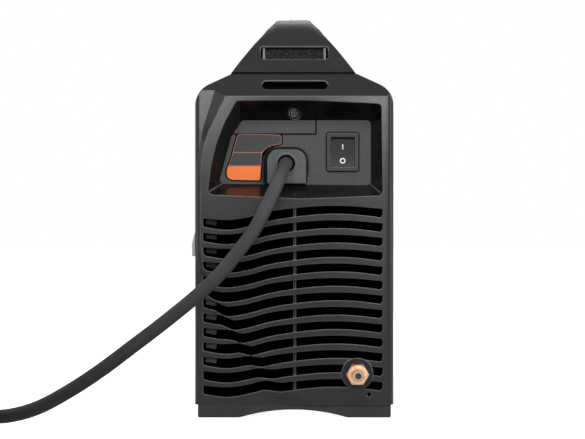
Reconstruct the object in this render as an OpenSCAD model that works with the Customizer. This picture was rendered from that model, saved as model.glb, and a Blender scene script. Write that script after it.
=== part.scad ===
// Plasma cutter power unit: moulded end caps with a wavy intake grille, a folded steel cover,
// a carrying handle, and the fan, power boards, magnetics and air line inside.
// Axes: +X right seen from behind, +Y towards the control side, +Z up. The feet stand on z = 0.

/* [Body] */
// Width over the end caps
body_w = 160; // [152:1:176]
// Length over the end caps
body_d = 400; // [390:2:440]
// Height of the flat top of the end caps
cap_top = 277.4; // [272:0.2:286]
// Height of the crease where the end face meets the sloping roof
roof_z = 258.6; // [256:0.2:262]
// Lean of the roof and of the handle's legs from upright, degrees
roof_lean = 35; // [30:1:40]
// Radius of the shoulder between side and slope
shoulder_r = 20; // [16:1:22]
// Fall of the slope above the shoulder, degrees
shoulder_fall = 26; // [22:1:30]
// Height of the shoulder's centre
shoulder_z = 250.7; // [246:0.1:254]
// Length of each end cap along the body
cap_d = 50; // [44:1:60]
// Wall of the moulded end caps
cap_t = 3; // [2.4:0.1:3.4]
// Depth of the grille slats
slat_d = 7; // [6:0.5:9]
// Radius of the end caps' upright corners
corner_r = 6; // [4:0.5:8]

/* [Feet] */
// Height of the foot skirts
foot_h = 10.4; // [8:0.2:12]
// Inset of a foot skirt from the end cap's sides
foot_inset = 2.3; // [1:0.1:8]
// Length of a foot skirt along the body
foot_d = 34; // [24:1:40]
// Span of the arch under a foot skirt
arch_w = 87; // [60:1:110]
// Height of the arch
arch_h = 6.4; // [4:0.2:7]

/* [Side facet] */
// How far the face left of the crease lies back
facet_depth = 3.4; // [2:0.2:4.4]

/* [Recess] */
// Depth of the control recess
recess_d = 25; // [20:1:30]
// Wall of the recess
recess_t = 2.5; // [2:0.1:3.5]

/* [Grille] */
// Number of slots
slot_n = 13; // [11:1:13]
// Pitch of the slots
slot_pitch = 11.6; // [11:0.1:12]
// Left end of the slots
slot_x0 = -73.4; // [-74:0.1:-70]
// Right end of the slots
slot_x1 = 70.9; // [68:0.1:73]
// Rise of the slots where they cross the crease
slot_step = 4.5; // [2:0.5:6]
// Width of the upright rib behind the slats
rib_w = 2.4; // [2:0.1:4]

/* [Handle] */
// Height of the grip's top
handle_top = 325.5; // [318:0.5:334]
// Half width of a leg at its foot
leg_half = 50.9; // [46:0.1:54]
// Half width of the grip
grip_half = 19.4; // [16:0.1:22]
// Height of the grip
grip_h = 24; // [20:1:28]
// Depth of a leg's foot along the body
leg_d = 30; // [24:1:33]
// Length of the strap slots in the handle
strap_w = 55; // [44:1:60]
// Height of the strap slots in the handle, along the leg
strap_h = 13; // [10:0.5:16]
// Length of the strap slots in the roofs
roof_slot_w = 52.8; // [44:0.2:60]

/* [Cover] */
// Sheet thickness of cover and panels
sheet_t = 1.2; // [1:0.1:1.6]
// Height of the cover's flat top
cover_top = 261; // [256:0.5:264]
// Gap between cover and end caps
cover_gap = 0.3; // [0.2:0.05:0.5]

/* [Switch] */
// Width of the switch's frame
switch_w = 25.4; // [24:0.1:27]
// Height of the switch's frame
switch_h = 30.8; // [29:0.1:32]
// Width of the rocker
rocker_w = 19.2; // [18:0.1:20]
// Radius of the rocker's ends about its pin
rocker_r = 13.2; // [13:0.1:13.6]
// Travel of the rocker, degrees
rocker_travel = 20; // [14:1:22]
// Radial gap round the rocker's pin
pin_gap = 0.05; // [0.02:0.01:0.1]

/* [Air] */
// Distance of the air inlet's axis from the side
inlet_in = 29.4; // [28:0.1:34]
// Height of the air inlet's axis
inlet_z = 35.3; // [34:0.1:37]
// Diameter of the inlet's boss
inlet_boss = 25.8; // [24:0.2:28]
// Size of the inlet's hexagon across flats
inlet_af = 16; // [14:0.5:17]
// Diameter of the inlet's tube
inlet_tube = 9.8; // [8:0.1:11]
// Bore of the inlet's tube
inlet_bore = 4.9; // [3:0.1:6]
// Reach of the inlet's tube behind the end face
inlet_reach = 25; // [18:1:30]
// Diameter of the inner air hose
hose_dia = 10; // [8:0.5:12]

/* [Intake filter] */
// Thickness of the foam filter behind the slats
filter_t = 6; // [4:0.5:8]
// Gap between the filter's edge and the cap's walls
filter_gap = 0.5; // [0.2:0.1:1]

/* [Fan] */
// Size of the square fan
fan_size = 120; // [110:1:120]
// Depth of the fan
fan_depth = 38; // [25:1:38]
// Height of the fan's axis
fan_z = 104; // [103:0.5:106]
// Gap between blade tips and fan ring
tip_gap = 1.5; // [1:0.1:3]
// Number of blades
blade_n = 7; // [5:1:9]

/* [Controls] */
// Diameter of the current knob
knob_dia = 34; // [28:1:40]
// Reach of the knob in front of the panel
knob_h = 17; // [14:1:20]
// Diameter of the knob's shaft
shaft_dia = 6; // [5:0.1:7]
// Diameter of the push buttons
button_dia = 11; // [9:0.5:13]
// Travel of the push buttons
button_travel = 1.5; // [1:0.1:2]
// Half distance between torch and work sockets
socket_x = 38; // [34:0.5:42]
// Height of the sockets
socket_z = 80; // [70:0.5:90]
// Bore of the work socket
work_bore = 9; // [8:0.1:10]
// Reach of the sockets in front of the end face
socket_reach = 14; // [10:1:20]

/* [Mains cable] */
// Outer diameter of the cable
cable_d = 10.8; // [10:0.1:11]
// Number of turns in the coil
coil_turns = 5; // [4:1:5]
// Mean radius of the coil
coil_r = 58.5; // [56:0.5:64]
// Gap between neighbouring turns
coil_gap = 0.9; // [0.7:0.1:2]
// Diameter of the plug
plug_dia = 38; // [36:1:42]
// Straight lead from the coil to the plug
plug_lead = 32; // [30:1:50]

/* [Hidden] */
$fn = 48;
EPS = 0.01;

half_w = body_w / 2;
rear_y = -body_d / 2;
front_y = body_d / 2;
end_x = 3 * body_w;               // longer than any cut across the body
foot_w = body_w - 2 * foot_inset;
panel_t = 1.5;
// y of the plane that the recess floors lie in, measured at the rear
floor_y = rear_y + recess_d;
// where the space between the steel panels starts
inner_y = floor_y + panel_t;
roof_run = tan(roof_lean);
// y of the rear roof plane at a height
function roof_y(z) = rear_y + (z - roof_z) * roof_run;

// The reach of the spigot behind and of the knob in front sets the middle of the whole length.
hook_out = 5;
front_reach = socket_reach;
shift = [hook_out / 2, (inlet_reach - front_reach) / 2, 0];
module place() { translate(shift) children(); }
// The front is laid out like the rear and mirrored
module front_place() { translate(shift) mirror([0, 1, 0]) children(); }

// ---------- helpers ----------

// A profile in X and Z, extruded along Y from y0 to y1
module along_y(y0, y1) {
  translate([0, y1, 0]) rotate([90, 0, 0]) linear_extrude(y1 - y0) children();
}
// A profile in Y and Z, extruded along X from x0 to x1
module along_x(x0, x1) {
  translate([x0, 0, 0]) rotate([90, 0, 90]) linear_extrude(x1 - x0) children();
}
// A rod along Y
module rod_y(r, y0, y1) { translate([0, y1, 0]) rotate([90, 0, 0]) cylinder(r = r, h = y1 - y0); }
// A rod along X
module rod_x(r, x0, x1) { translate([x0, 0, 0]) rotate([0, 90, 0]) cylinder(r = r, h = x1 - x0); }
// A box given by its two corners
module box(a, b) { translate(a) cube(b - a); }
// Points of a rectangle with round corners of n steps, about the origin
function rect_pts(w, h, r, n = 5) = [
  for (q = [0:3], i = [0:n])
    let (a = 90 * q + 90 * i / n, sx = (q == 0 || q == 3) ? 1 : -1, sz = q < 2 ? 1 : -1)
      [sx * (w / 2 - r) + r * cos(a), sz * (h / 2 - r) + r * sin(a)]
];
// Smooth reading of a table of [key, value, ...] rows with rising keys
function slope_at(t, i, k) =
  let (a = max(i - 1, 0), b = min(i + 1, len(t) - 1)) (t[b][k] - t[a][k]) / (t[b][0] - t[a][0]);
function seg_of(t, x, i = 0) = (i >= len(t) - 2 || x <= t[i + 1][0]) ? i : seg_of(t, x, i + 1);
function smooth_at(t, x, k = 1) =
  let (
    i = seg_of(t, x),
    w = t[i + 1][0] - t[i][0],
    u = min(max((x - t[i][0]) / w, 0), 1),
    m0 = slope_at(t, i, k) * w,
    m1 = slope_at(t, i + 1, k) * w
  )
  (2 * u ^ 3 - 3 * u ^ 2 + 1) * t[i][k] + (u ^ 3 - 2 * u ^ 2 + u) * m0
  + (3 * u ^ 2 - 2 * u ^ 3) * t[i + 1][k] + (u ^ 3 - u ^ 2) * m1;
function ease(u) = let (v = min(max(u, 0), 1)) v * v * (3 - 2 * v);

// ---------- outlines of the body ----------

// Half outline of an end cap in X and Z, drawn in by d, with its shoulder and slope
function cap_half(d, z0) =
  let (
    cx = half_w - shoulder_r,
    r = shoulder_r - d,
    turn = 90 - shoulder_fall,
    ex = cx + r * cos(turn),
    ez = shoulder_z + r * sin(turn),
    top = cap_top - d,
    tx = ex - (top - ez) / tan(shoulder_fall)
  )
  concat(
    [[half_w - d, z0]],
    [for (i = [0:8]) [cx + r * cos(turn * i / 8), shoulder_z + r * sin(turn * i / 8)]],
    [[tx, top]]
  );
function mirrored(p) = concat(p, [for (i = [len(p) - 1:-1:0]) [-p[i][0], p[i][1]]]);
function cap_pts(d, z0) = mirrored(cap_half(d, z0));

// Outline of the cover, drawn in by d
cover_half = half_w - cap_t - cover_gap;
cover_r = 20;
cover_z0 = foot_h + cap_t + cover_gap;
function cover_pts(d, z0) = mirrored(concat(
  [[cover_half - d, z0]],
  [for (i = [0:8]) [
    cover_half - cover_r + (cover_r - d) * cos(90 * i / 8),
    cover_top - cover_r + (cover_r - d) * sin(90 * i / 8)
  ]]
));

// Plan of an end cap at the rear: a round upright corner at the right, and at the left a small
// bevel that crosses the face of the side facet
bevel_w = 1.1;
function plan_pts() =
  let (yf = rear_y + facet_depth)
  concat(
    [[half_w, cap_edge], [-half_w, cap_edge], [-half_w, yf + 1.7], [-half_w + bevel_w, yf - 1]],
    [[-half_w + bevel_w, rear_y]],
    [for (i = [0:6]) let (a = 270 + 15 * i)
      [half_w - corner_r + corner_r * cos(a), rear_y + corner_r + corner_r * sin(a)]]
  );

// ---------- sculpted side facet ----------

// Height, left edge and right edge (the crease) of the band that steps down to the side facet
facet_rows = [
  [-2, -16, 16], [8, -20, 12], [21, -28, -2.7], [39, -36, -17], [60, -50.5, -37],
  [82, -63, -50.5], [103, -73.5, -64.4], [120, -77, -72], [135, -78.1, -75],
  [175, -78.1, -75.4], [203, -77.6, -74.8], [223, -75.6, -71.4], [240, -71.5, -64],
  [258.6, -65.5, -55], [272, -61, -47]
];
facet_steps = 30;
// Middle of the band at a height
function crease_mid(z) = (smooth_at(facet_rows, z, 1) + smooth_at(facet_rows, z, 2)) / 2;
// Section of the cut: the facet's face, and the band carried on through the crease
function facet_ring(z) =
  let (
    xl = smooth_at(facet_rows, z, 1),
    xr = smooth_at(facet_rows, z, 2),
    out = 3,
    side = -half_w - 6
  )
  [
    [side, rear_y + facet_depth, z], [xl, rear_y + facet_depth, z],
    [xr + (xr - xl) * out / facet_depth, rear_y - out, z], [side, rear_y - out, z]
  ];
// The space in front of the side facet, which is cut from the end face
module facet_cut() {
  z0 = facet_rows[0][0];
  z1 = facet_rows[len(facet_rows) - 1][0];
  swept([for (i = [0:facet_steps]) facet_ring(z0 + (z1 - z0) * i / facet_steps)]);
}
// A closed body through rings of equal size, each ring anticlockwise when seen along the way
module swept(rings) {
  n = len(rings) - 1;
  m = len(rings[0]);
  polyhedron(
    points = [for (r = rings) each r],
    faces = concat(
      [[for (k = [m - 1:-1:0]) k]],
      [for (i = [0:n - 1], k = [0:m - 1])
        let (a = i * m + k, b = i * m + (k + 1) % m) [a, b, a + m]],
      [for (i = [0:n - 1], k = [0:m - 1])
        let (a = i * m + k, b = i * m + (k + 1) % m) [a + m, b, b + m]],
      [[for (k = [0:m - 1]) n * m + k]]
    ),
    convexity = 10
  );
}

// ---------- wavy grille ----------

// X, height of the first slot's middle and half its height
slot_rows = [
  [-74, 157, 3.4], [-55, 155, 4.0], [-38, 157.2, 3.8], [-20, 162, 3.8],
  [-1, 164.9, 3.5], [22, 167, 3.25], [45, 166.9, 3.2], [71, 164.4, 3.45]
];
// First row that steps up where it crosses the crease
step_row = 6;
slot_bits = 30;
function slot_mid(x, i) =
  let (
    z = smooth_at(slot_rows, x, 1) - (i - 1) * slot_pitch,
    mid = crease_mid(z + slot_step / 2),
    wide = 12 + 8 * ease((i - 9) / 4)
  )
  z + (i < step_row ? 0 : slot_step * ease((mid - x) / wide + 0.5));
// Radius of the lower left corner and chamfer of the lower right corner
function slot_corner(i) = i < 3 ? 1.5 : i < 6 ? 4.5 : 2;
slot_chamfer = 2;
function slot_pts(i) =
  let (
    xs = [for (k = [0:slot_bits]) slot_x0 + (slot_x1 - slot_x0) * k / slot_bits],
    r = slot_corner(i),
    up = [for (x = xs) [x, slot_mid(x, i) + smooth_at(slot_rows, x, 2)]],
    zr = slot_mid(slot_x1, i) - smooth_at(slot_rows, slot_x1, 2),
    low = [for (k = [slot_bits - 1:-1:2]) let (x = xs[k])
      [x, slot_mid(x, i) - smooth_at(slot_rows, x, 2)]],
    zl = slot_mid(slot_x0 + r, i) - smooth_at(slot_rows, slot_x0 + r, 2),
    fillet = [for (a = [270:-22.5:180])
      [slot_x0 + r + r * cos(a), zl + r + r * sin(a)]]
  )
  concat(up, [[slot_x1, zr + slot_chamfer], [slot_x1 - slot_chamfer, zr]], low, fillet);
module slots(rows) {
  for (i = rows)
    along_y(rear_y - 1, rear_y + slat_d + 1) polygon(slot_pts(i));
}

// ---------- end cap ----------

cap_edge = rear_y + cap_d;        // edge of the rear cap over the cover

// The solid form of an end cap: front outline, plan and side profile crossed
module cap_form() {
  intersection() {
    along_y(rear_y, cap_edge) polygon(cap_pts(0, foot_h));
    translate([0, 0, foot_h - 1]) linear_extrude(cap_top - foot_h + 2) polygon(plan_pts());
    along_x(-half_w - 1, half_w + 1) polygon([
      [rear_y, foot_h - 1], [rear_y, roof_z], [roof_y(cap_top + 2), cap_top + 2],
      [cap_edge + 1, cap_top + 2], [cap_edge + 1, foot_h - 1]
    ]);
  }
}
// The hollow inside an end cap, and the mouth that the cover slides into
module cap_hollow() {
  roof_back = cap_t / cos(roof_lean);
  intersection() {
    along_y(rear_y + slat_d, cap_edge - cap_t) polygon(cap_pts(cap_t, foot_h + cap_t));
    along_x(-half_w, half_w) polygon([
      [rear_y, foot_h], [rear_y + roof_back, foot_h], [rear_y + roof_back, roof_z],
      [roof_y(cap_top) + roof_back, cap_top], [cap_edge, cap_top], [cap_edge, foot_h]
    ]);
  }
  along_y(cap_edge - cap_t - 1, cap_edge + 1) polygon(cover_pts(-cover_gap, foot_h + cap_t));
}
screw_x = 0.6;
screw_z = 245.9;
seat_t = 6;                       // material under the recess screw's head
screw_seat = floor_y - seat_t;
handle_screw_x = 30;
handle_screw_y = rear_y + 30;     // the middle of a leg
handle_hole = 2.3;
post_r = 7.9;                     // post round the recess screw
post_from = 12;                   // depth at which the post starts
seat_r = 6.35;                    // its counterbore
screw_hole = 2.3;
roof_slot_x = 0.4;
roof_slot_z = 267.6;
roof_slot_h = 7;
roof_slot_d = 22;                 // far enough to pass through the sloping roof
module cap_shell(rows) {
  difference() {
    cap_form();
    facet_cut();
    cap_hollow();
    slots(rows);
    // strap slot in the roof
    along_y(rear_y - 1, rear_y + roof_slot_d)
      translate([roof_slot_x, roof_slot_z])
      polygon(rect_pts(roof_slot_w, roof_slot_h, roof_slot_h / 2 - 0.1));
    for (sx = [-1, 1])
      translate([sx * handle_screw_x, handle_screw_y, cap_top - 2 * cap_t])
        cylinder(r = handle_hole, h = 3 * cap_t);
  }
}

// Corner circles of the control recess: [x, z, radius] at the face and at its floor
recess_mouth = [
  [-44.5, 251.5, 3.5], [10, 251.9, 3.5], [66.6, 249.2, 3.5], [67.3, 182.2, 3.7],
  [6.4, 179.6, 3.5], [-65.8, 182.8, 3.6], [-63.9, 200.1, 3.5], [-59.7, 218.3, 3.5],
  [-53.6, 234.6, 3.5]
];
recess_floor = [
  [-40.5, 236.3, 3.4], [58.6, 236.3, 3.5], [58.6, 191.4, 3.5], [-57.4, 192, 3],
  [-53.2, 207, 3.2], [-48, 225.7, 3.2]
];
module outline_of(corners, grow) {
  for (c = corners) translate([c[0], c[1]]) circle(r = c[2] + grow, $fn = 32);
}
// Tub from the mouth in the end face to a floor at a depth, grown by a wall, open in front by out
module recess_body(depth, grow, out) {
  hull() {
    along_y(rear_y - out, rear_y - out + 1) outline_of(recess_mouth, grow);
    along_y(rear_y + depth - 0.5, rear_y + depth) outline_of(recess_floor, grow);
  }
}

inlet_x = half_w - inlet_in;
inlet_tail = 2.6;                 // the boss is this much slimmer behind the slats
inlet_hole = 6.2;
inlet_lip = 0.6;                  // the boss stands this far out of the end face
rib_d = 6;                        // depth of the rib behind the slats
rib_top = 180;
drain_at = [60, 18.7];
drain_r = 1.7;
rib_x = 0.3;
rib_y = rear_y + slat_d + rib_d;  // back of the rib, where the filter lies
module rear_bezel() {
  color([0.16, 0.16, 0.17]) place() difference() {
    union() {
      difference() {
        union() {
          cap_shell([1:slot_n]);
          intersection() {
            union() {
              recess_body(recess_d, recess_t, -1);
              translate([screw_x, 0, screw_z]) rod_y(post_r, rear_y + post_from, floor_y);
            }
            cap_form();
          }
        }
        recess_body(recess_d + 1, 0, 1);
      }
      // upright rib behind the slats
      box([rib_x - rib_w / 2, rear_y + slat_d - 0.5, foot_h + 1],
        [rib_x + rib_w / 2, rib_y, rib_top]);
      // boss of the air inlet, back to the steel panel
      translate([inlet_x, 0, inlet_z]) {
        rod_y(inlet_boss / 2, rear_y - inlet_lip, rear_y + slat_d + 1);
        rod_y(inlet_boss / 2 - inlet_tail, rear_y + slat_d, floor_y);
      }
    }
    translate([inlet_x, 0, inlet_z]) rod_y(inlet_hole, rear_y - 2, floor_y + 1);
    // drain hole
    translate([drain_at[0], 0, drain_at[1]]) rod_y(drain_r, rear_y - 1, rear_y + slat_d + 1);
    // screw seat in the recess's top wall
    translate([screw_x, 0, screw_z]) {
      rod_y(seat_r, rear_y - 1, screw_seat);
      rod_y(screw_hole, screw_seat - 1, floor_y + 1);
    }
  }
}

// ---------- steel panel behind the rear cap ----------

panel_inset = sheet_t + 0.4;
panel_z0 = cover_z0 + 3;
panel_foot = 12;                  // length of the flange on the base pan
panel_foot_in = 3;                // inset of its ends
clamp_x = -6.3;
clamp_w = 31.3;
clamp_top = 216.2;
clamp_z0 = 188.9;
clamp_gap = 2.4;
clamp_r = 9;                      // corner radius of the clamp's arch
clamp_reach = 6;
switch_c = [39.4, 214.6];
body_gap = 0.3;
switch_body_w = rocker_w + 2 * 1.3;
switch_body_h = 2 * rocker_r + 1.8;
fan_hole = fan_size / 2 - 4;
fan_screw_hole = 2.2;
fan_screw = fan_size / 2 - 7.5;   // half pitch of the fan's screws

// Foot flange of an end panel, on the base pan
module panel_flange() {
  reach = cover_half - panel_inset - panel_foot_in;
  box([-reach, floor_y, panel_z0 - panel_t], [reach, floor_y + panel_foot, panel_z0]);
}
pad_rise = 0.5;
pad_pts = [[-47.2, 229.3], [17.4, 229.3], [17.4, 238.2], [-42, 238.2]];
module rear_panel() {
  color([0.2, 0.2, 0.21]) place() {
    difference() {
      along_y(floor_y, floor_y + panel_t) polygon(cover_pts(panel_inset, panel_z0));
      // arched opening round the cable clamp
      along_y(floor_y - 1, floor_y + panel_t + 1) difference() {
        translate([clamp_x, (clamp_z0 + clamp_top) / 2])
          polygon(rect_pts(clamp_w + 2 * clamp_gap, clamp_top - clamp_z0 + 2 * clamp_gap,
            clamp_r + clamp_gap));
        translate([clamp_x - clamp_w, clamp_z0 - 20]) square([2 * clamp_w, 20]);
      }
      along_y(floor_y - 1, floor_y + panel_t + 1) translate(switch_c)
        square([switch_body_w + 2 * body_gap, switch_body_h + 2 * body_gap], center = true);
      translate([inlet_x, 0, inlet_z]) rod_y(inlet_hole, floor_y - 1, floor_y + panel_t + 1);
      translate([screw_x, 0, screw_z]) rod_y(screw_hole, floor_y - 1, floor_y + panel_t + 1);
      translate([0, 0, fan_z]) rod_y(fan_hole, floor_y - 1, floor_y + panel_t + 1);
      for (sx = [-1, 1], sz = [-1, 1]) translate([sx * fan_screw, 0, fan_z + sz * fan_screw])
        rod_y(fan_screw_hole, floor_y - 1, floor_y + panel_t + 1);
    }
    // raised pad along the top of the recess
    along_y(floor_y - pad_rise, floor_y + EPS) polygon(pad_pts);
    // foot flange on the base pan
    panel_flange();
  }
}

hole_r = 7.2;
hole_x = clamp_x - 0.3;
hole_z = 204.8;
lip_r = 8.8;                      // lip round the cable hole
lip_h = 1.2;
groove = 0.6;                     // fine groove along the clamp's bottom edge
cable_seat = floor_y + 2;         // where the cable's free end starts, in the clamp
module cable_clamp() {
  flange = 5;                     // width of the flange behind the steel panel
  flange_t = 4;
  flange_r = 4;
  color([0.13, 0.13, 0.14]) place() difference() {
    union() {
      along_y(floor_y - clamp_reach, floor_y + panel_t + 1)
        translate([clamp_x, (clamp_z0 + clamp_top) / 2])
        polygon(rect_pts(clamp_w, clamp_top - clamp_z0, clamp_r));
      // square lower part
      along_y(floor_y - clamp_reach, floor_y + panel_t + 1)
        translate([clamp_x, clamp_z0 + clamp_r / 2]) square([clamp_w, clamp_r], center = true);
      // lip round the hole
      translate([hole_x, 0, hole_z]) rod_y(lip_r, floor_y - clamp_reach - lip_h, floor_y);
      // flange behind the steel panel
      along_y(floor_y + panel_t, floor_y + panel_t + flange_t)
        translate([clamp_x, (clamp_z0 + clamp_top) / 2])
        polygon(rect_pts(clamp_w + 2 * clamp_gap + 2 * flange,
          clamp_top - clamp_z0 + 2 * clamp_gap + 2 * flange, flange_r));
    }
    translate([hole_x, 0, hole_z]) rod_y(hole_r, floor_y - clamp_reach - 2, cable_seat);
    box([clamp_x - clamp_w, floor_y - clamp_reach - 1, clamp_z0 + groove],
      [clamp_x + clamp_w, floor_y - clamp_reach + groove, clamp_z0 + 2 * groove]);
  }
}

// Phillips screw along Y with its head towards -Y
screw_head = 3.9;
screw_head_h = 2.6;
screw_shank = 2;
cross_half = 2.3;                 // half length of the cross in the head
cross_w = 1.1;
cross_d = 1.4;
module panel_screw(seat, tip) {
  difference() {
    union() {
      rod_y(screw_head, seat - screw_head_h, seat);
      rod_y(screw_shank, seat, tip);
    }
    for (a = [0, 90]) rotate([0, a, 0])
      box([-cross_half, seat - screw_head_h - 1, -cross_w / 2],
        [cross_half, seat - screw_head_h + cross_d, cross_w / 2]);
  }
}
module bezel_screws() {
  tip = floor_y + panel_t + 4;
  color([0.3, 0.3, 0.32]) {
    place() translate([screw_x, 0, screw_z]) panel_screw(screw_seat, tip);
    front_place() for (sx = [-1, 1])
      translate([sx * front_screw_x, 0, front_screw_z]) panel_screw(rear_y, tip);
  }
}

// ---------- power switch ----------

switch_flange = 2.6;
switch_deep = 18.6;
tab_pitch = 6;
tab_w = 4.8;
tab_t = 0.8;
tab_l = 9;
frame_r = 1.6;
pin_r = 1.6;
pin_out = 1;                      // the pin's reach beyond the rocker's sides
pin_back = 3;
pin_y = floor_y + pin_back;              // the rocker's pin lies just behind the panel's face
rocker_gap = 0.25;
rocker_back = 4.5;                // flat back of the rocker, behind its pin
window_w = rocker_w + 2 * rocker_gap;
module switch_housing() {
  color([0.5, 0.5, 0.52]) place() translate([switch_c[0], 0, switch_c[1]]) difference() {
    union() {
      along_y(floor_y - switch_flange, floor_y) polygon(rect_pts(switch_w, switch_h, frame_r));
      along_y(floor_y, floor_y + switch_deep) square([switch_body_w, switch_body_h], center = true);
      // terminal tabs
      for (x = [-tab_pitch, 0, tab_pitch])
        box([x - tab_w / 2, floor_y + switch_deep - 0.5, -tab_t / 2],
          [x + tab_w / 2, floor_y + switch_deep + tab_l, tab_t / 2]);
    }
    translate([0, pin_y, 0]) {
      rod_x(rocker_r + rocker_gap, -window_w / 2, window_w / 2);
      rod_x(pin_r + pin_gap, -switch_w, switch_w);
    }
  }
}
module switch_rocker() {
  tilt = rocker_travel / 2;
  valley = switch_flange + pin_back + 1;
  big = 3 * rocker_r;
  dish_r = rocker_r / sin(tilt);
  // The face is a shallow hollow from end to end
  color([0.1, 0.1, 0.11]) place() translate([switch_c[0], pin_y, switch_c[1]])
    rotate([tilt, 0, 0]) {
      difference() {
        rod_x(rocker_r, -rocker_w / 2, rocker_w / 2);
        translate([0, -valley - dish_r, 0]) rod_x(dish_r, -big, big);
        box([-big, rocker_back, -big], [big, big, big]);
      }
      rod_x(pin_r, -rocker_w / 2 - pin_out, rocker_w / 2 + pin_out);
    }
}

// ---------- intake filter ----------

filter_hole_gap = 0.3;
filter_z0 = foot_h + cap_t + filter_gap;
filter_z1 = 172;                  // just below the recess
module intake_filter() {
  edge = half_w - cap_t - filter_gap;
  color([0.05, 0.05, 0.055]) place() difference() {
    box([-edge, rib_y, filter_z0], [edge, rib_y + filter_t, filter_z1]);
    translate([inlet_x, 0, inlet_z])
      rod_y(inlet_boss / 2 - inlet_tail + filter_hole_gap, rib_y - 1, rib_y + filter_t + 1);
  }
}

// ---------- air inlet ----------

nut_h = 9;
neck_l = 3;
neck_wall = 1;
nut_y = rear_y - inlet_lip;
neck_y = nut_y - nut_h - neck_l;       // mouth of the nut's neck
root_r = inlet_tube / 2 - 0.25;   // hidden root of the tube
stem_gap = 0.25;
hose_wall = 1.6;
barb_r = hose_dia / 2 - hose_wall;
barb_l = 14;
stem_out = 6;                     // the stem's reach behind the steel panel
snug = 0.03;                      // radial gap between pressed or screwed parts
nut_bevel = 0.6;
root_l = 10;                      // the tube's hidden root in the nut
module air_inlet_nut() {
  color([0.83, 0.62, 0.42]) place() translate([inlet_x, 0, inlet_z]) difference() {
    union() {
      intersection() {
        translate([0, nut_y, 0]) rotate([90, 0, 0]) cylinder(d = inlet_af / cos(30), h = nut_h, $fn = 6);
        translate([0, nut_y + 1, 0]) rotate([90, 0, 0])
          cylinder(r1 = inlet_af / 2 - nut_bevel + nut_h, r2 = inlet_af / 2 - nut_bevel, h = nut_h + 1);
      }
      rod_y(inlet_tube / 2 + neck_wall, neck_y, nut_y);
      // threaded stem through the boss and its inner hose end
      rod_y(inlet_hole - stem_gap, nut_y - 1, inner_y + stem_out);
      rod_y(barb_r, inner_y + stem_out - 1, inner_y + stem_out + barb_l);
    }
    rod_y(root_r + snug, neck_y - 1, neck_y + root_l);
    rod_y(inlet_bore / 2, neck_y + root_l - 1, inner_y + stem_out + barb_l + 1);
  }
}
module air_inlet_spigot() {
  color([0.45, 0.45, 0.47]) place() translate([inlet_x, 0, inlet_z]) difference() {
    union() {
      rod_y(inlet_tube / 2, rear_y - inlet_reach, neck_y);
      rod_y(root_r, neck_y - 1, neck_y + root_l);
    }
    rod_y(inlet_bore / 2, rear_y - inlet_reach - 1, nut_y);
  }
}

// ---------- feet ----------

module foot_skirt() {
  steps = 12;
  back = 2.5;                     // set back from the end face
  edge = 1;                       // bevel along the bottom corners
  arch_x = -0.7;
  arch_r = (arch_w ^ 2 / 4 + arch_h ^ 2) / (2 * arch_h);
  reach = asin(arch_w / 2 / arch_r);
  arch = [for (i = [0:steps]) let (a = 90 + reach - 2 * reach * i / steps)
    [arch_x + arch_r * cos(a), arch_h - arch_r + arch_r * sin(a)]];
  along_y(rear_y + back, rear_y + back + foot_d) polygon(concat(
    [[-foot_w / 2, edge], [-foot_w / 2, foot_h], [foot_w / 2, foot_h], [foot_w / 2, edge]],
    [[foot_w / 2 - edge, 0]],
    [for (i = [len(arch) - 1:-1:0]) arch[i]],
    [[-foot_w / 2 + edge, 0]]
  ));
}
module rear_foot() { color([0.09, 0.09, 0.1]) place() foot_skirt(); }
module front_foot() { color([0.09, 0.09, 0.1]) place() mirror([0, 1, 0]) foot_skirt(); }

// ---------- handle ----------

// Side profile in Y and Z: leg, bend and grip, from the rear to the middle, then mirrored
leg_y = roof_y(cap_top);
leg_gap = 0.3;
leg_z0 = cap_top + leg_gap;
bend_z = handle_top - 10;
function leg_outer(z) = leg_y + (z - cap_top) * roof_run;
bend_y = leg_outer(bend_z);
grip_y = bend_y + 17;
groove_h = 1;                     // shadow groove along the joint with the cap
groove_in = 1.2;
handle_half = [
  [leg_outer(leg_z0) + groove_in, leg_z0], [leg_outer(leg_z0 + groove_h) + groove_in, leg_z0 + groove_h],
  [leg_outer(leg_z0 + groove_h), leg_z0 + groove_h], [bend_y, bend_z], [bend_y + 4.2, bend_z + 4.9],
  [bend_y + 9.6, bend_z + 8.3], [grip_y, handle_top]
];
handle_under = [
  [grip_y + 12, handle_top - grip_h], [grip_y + 4, handle_top - grip_h - 1.6],
  [grip_y - 3, handle_top - grip_h - 6], [leg_y + leg_d + 4, leg_z0 + 12],
  [leg_y + leg_d, leg_z0 + 5], [leg_y + leg_d, leg_z0]
];
module handle_profile() {
  polygon(concat(
    handle_half,
    [for (i = [len(handle_half) - 1:-1:0]) [-handle_half[i][0], handle_half[i][1]]],
    [for (i = [len(handle_under) - 1:-1:0]) [-handle_under[i][0], handle_under[i][1]]],
    handle_under
  ));
}
// Outline seen from behind: flared foot, narrow grip with a rounded top
handle_rows = [
  [leg_z0, leg_half - 0.2], [cap_top + 10, leg_half - 7], [cap_top + 24, leg_half - 17.7],
  [bend_z - 4, grip_half + 5.1], [bend_z, grip_half + 2.1], [bend_z + 5, grip_half - 2.9],
  [handle_top - 1.2, grip_half - 6], [handle_top, grip_half - 7.2]
];
handle_x = -0.8;                  // the handle stands this far left of the middle
module handle_front() {
  right = [for (i = [0:24]) let (z = leg_z0 + (handle_top - leg_z0) * i / 24)
    [smooth_at(handle_rows, z), z]];
  translate([handle_x, 0]) polygon(mirrored(right));
}
strap_z = cap_top + 17.9;
strap_r = 2;
pilot_r = 1.8;                    // pilot holes for the handle's screws
pilot_l = 15;
pad_depth = 9;                    // depth of the strap slots
pad_gap = 3.4;
pad_snug = 0.3;
pad_h = strap_h - 2 * pad_snug;
pad_rib = 1.6;
rib_sunk = 1.2;                   // the pad's side ribs and its face lie this far back
pad_sunk = 3;
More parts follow.
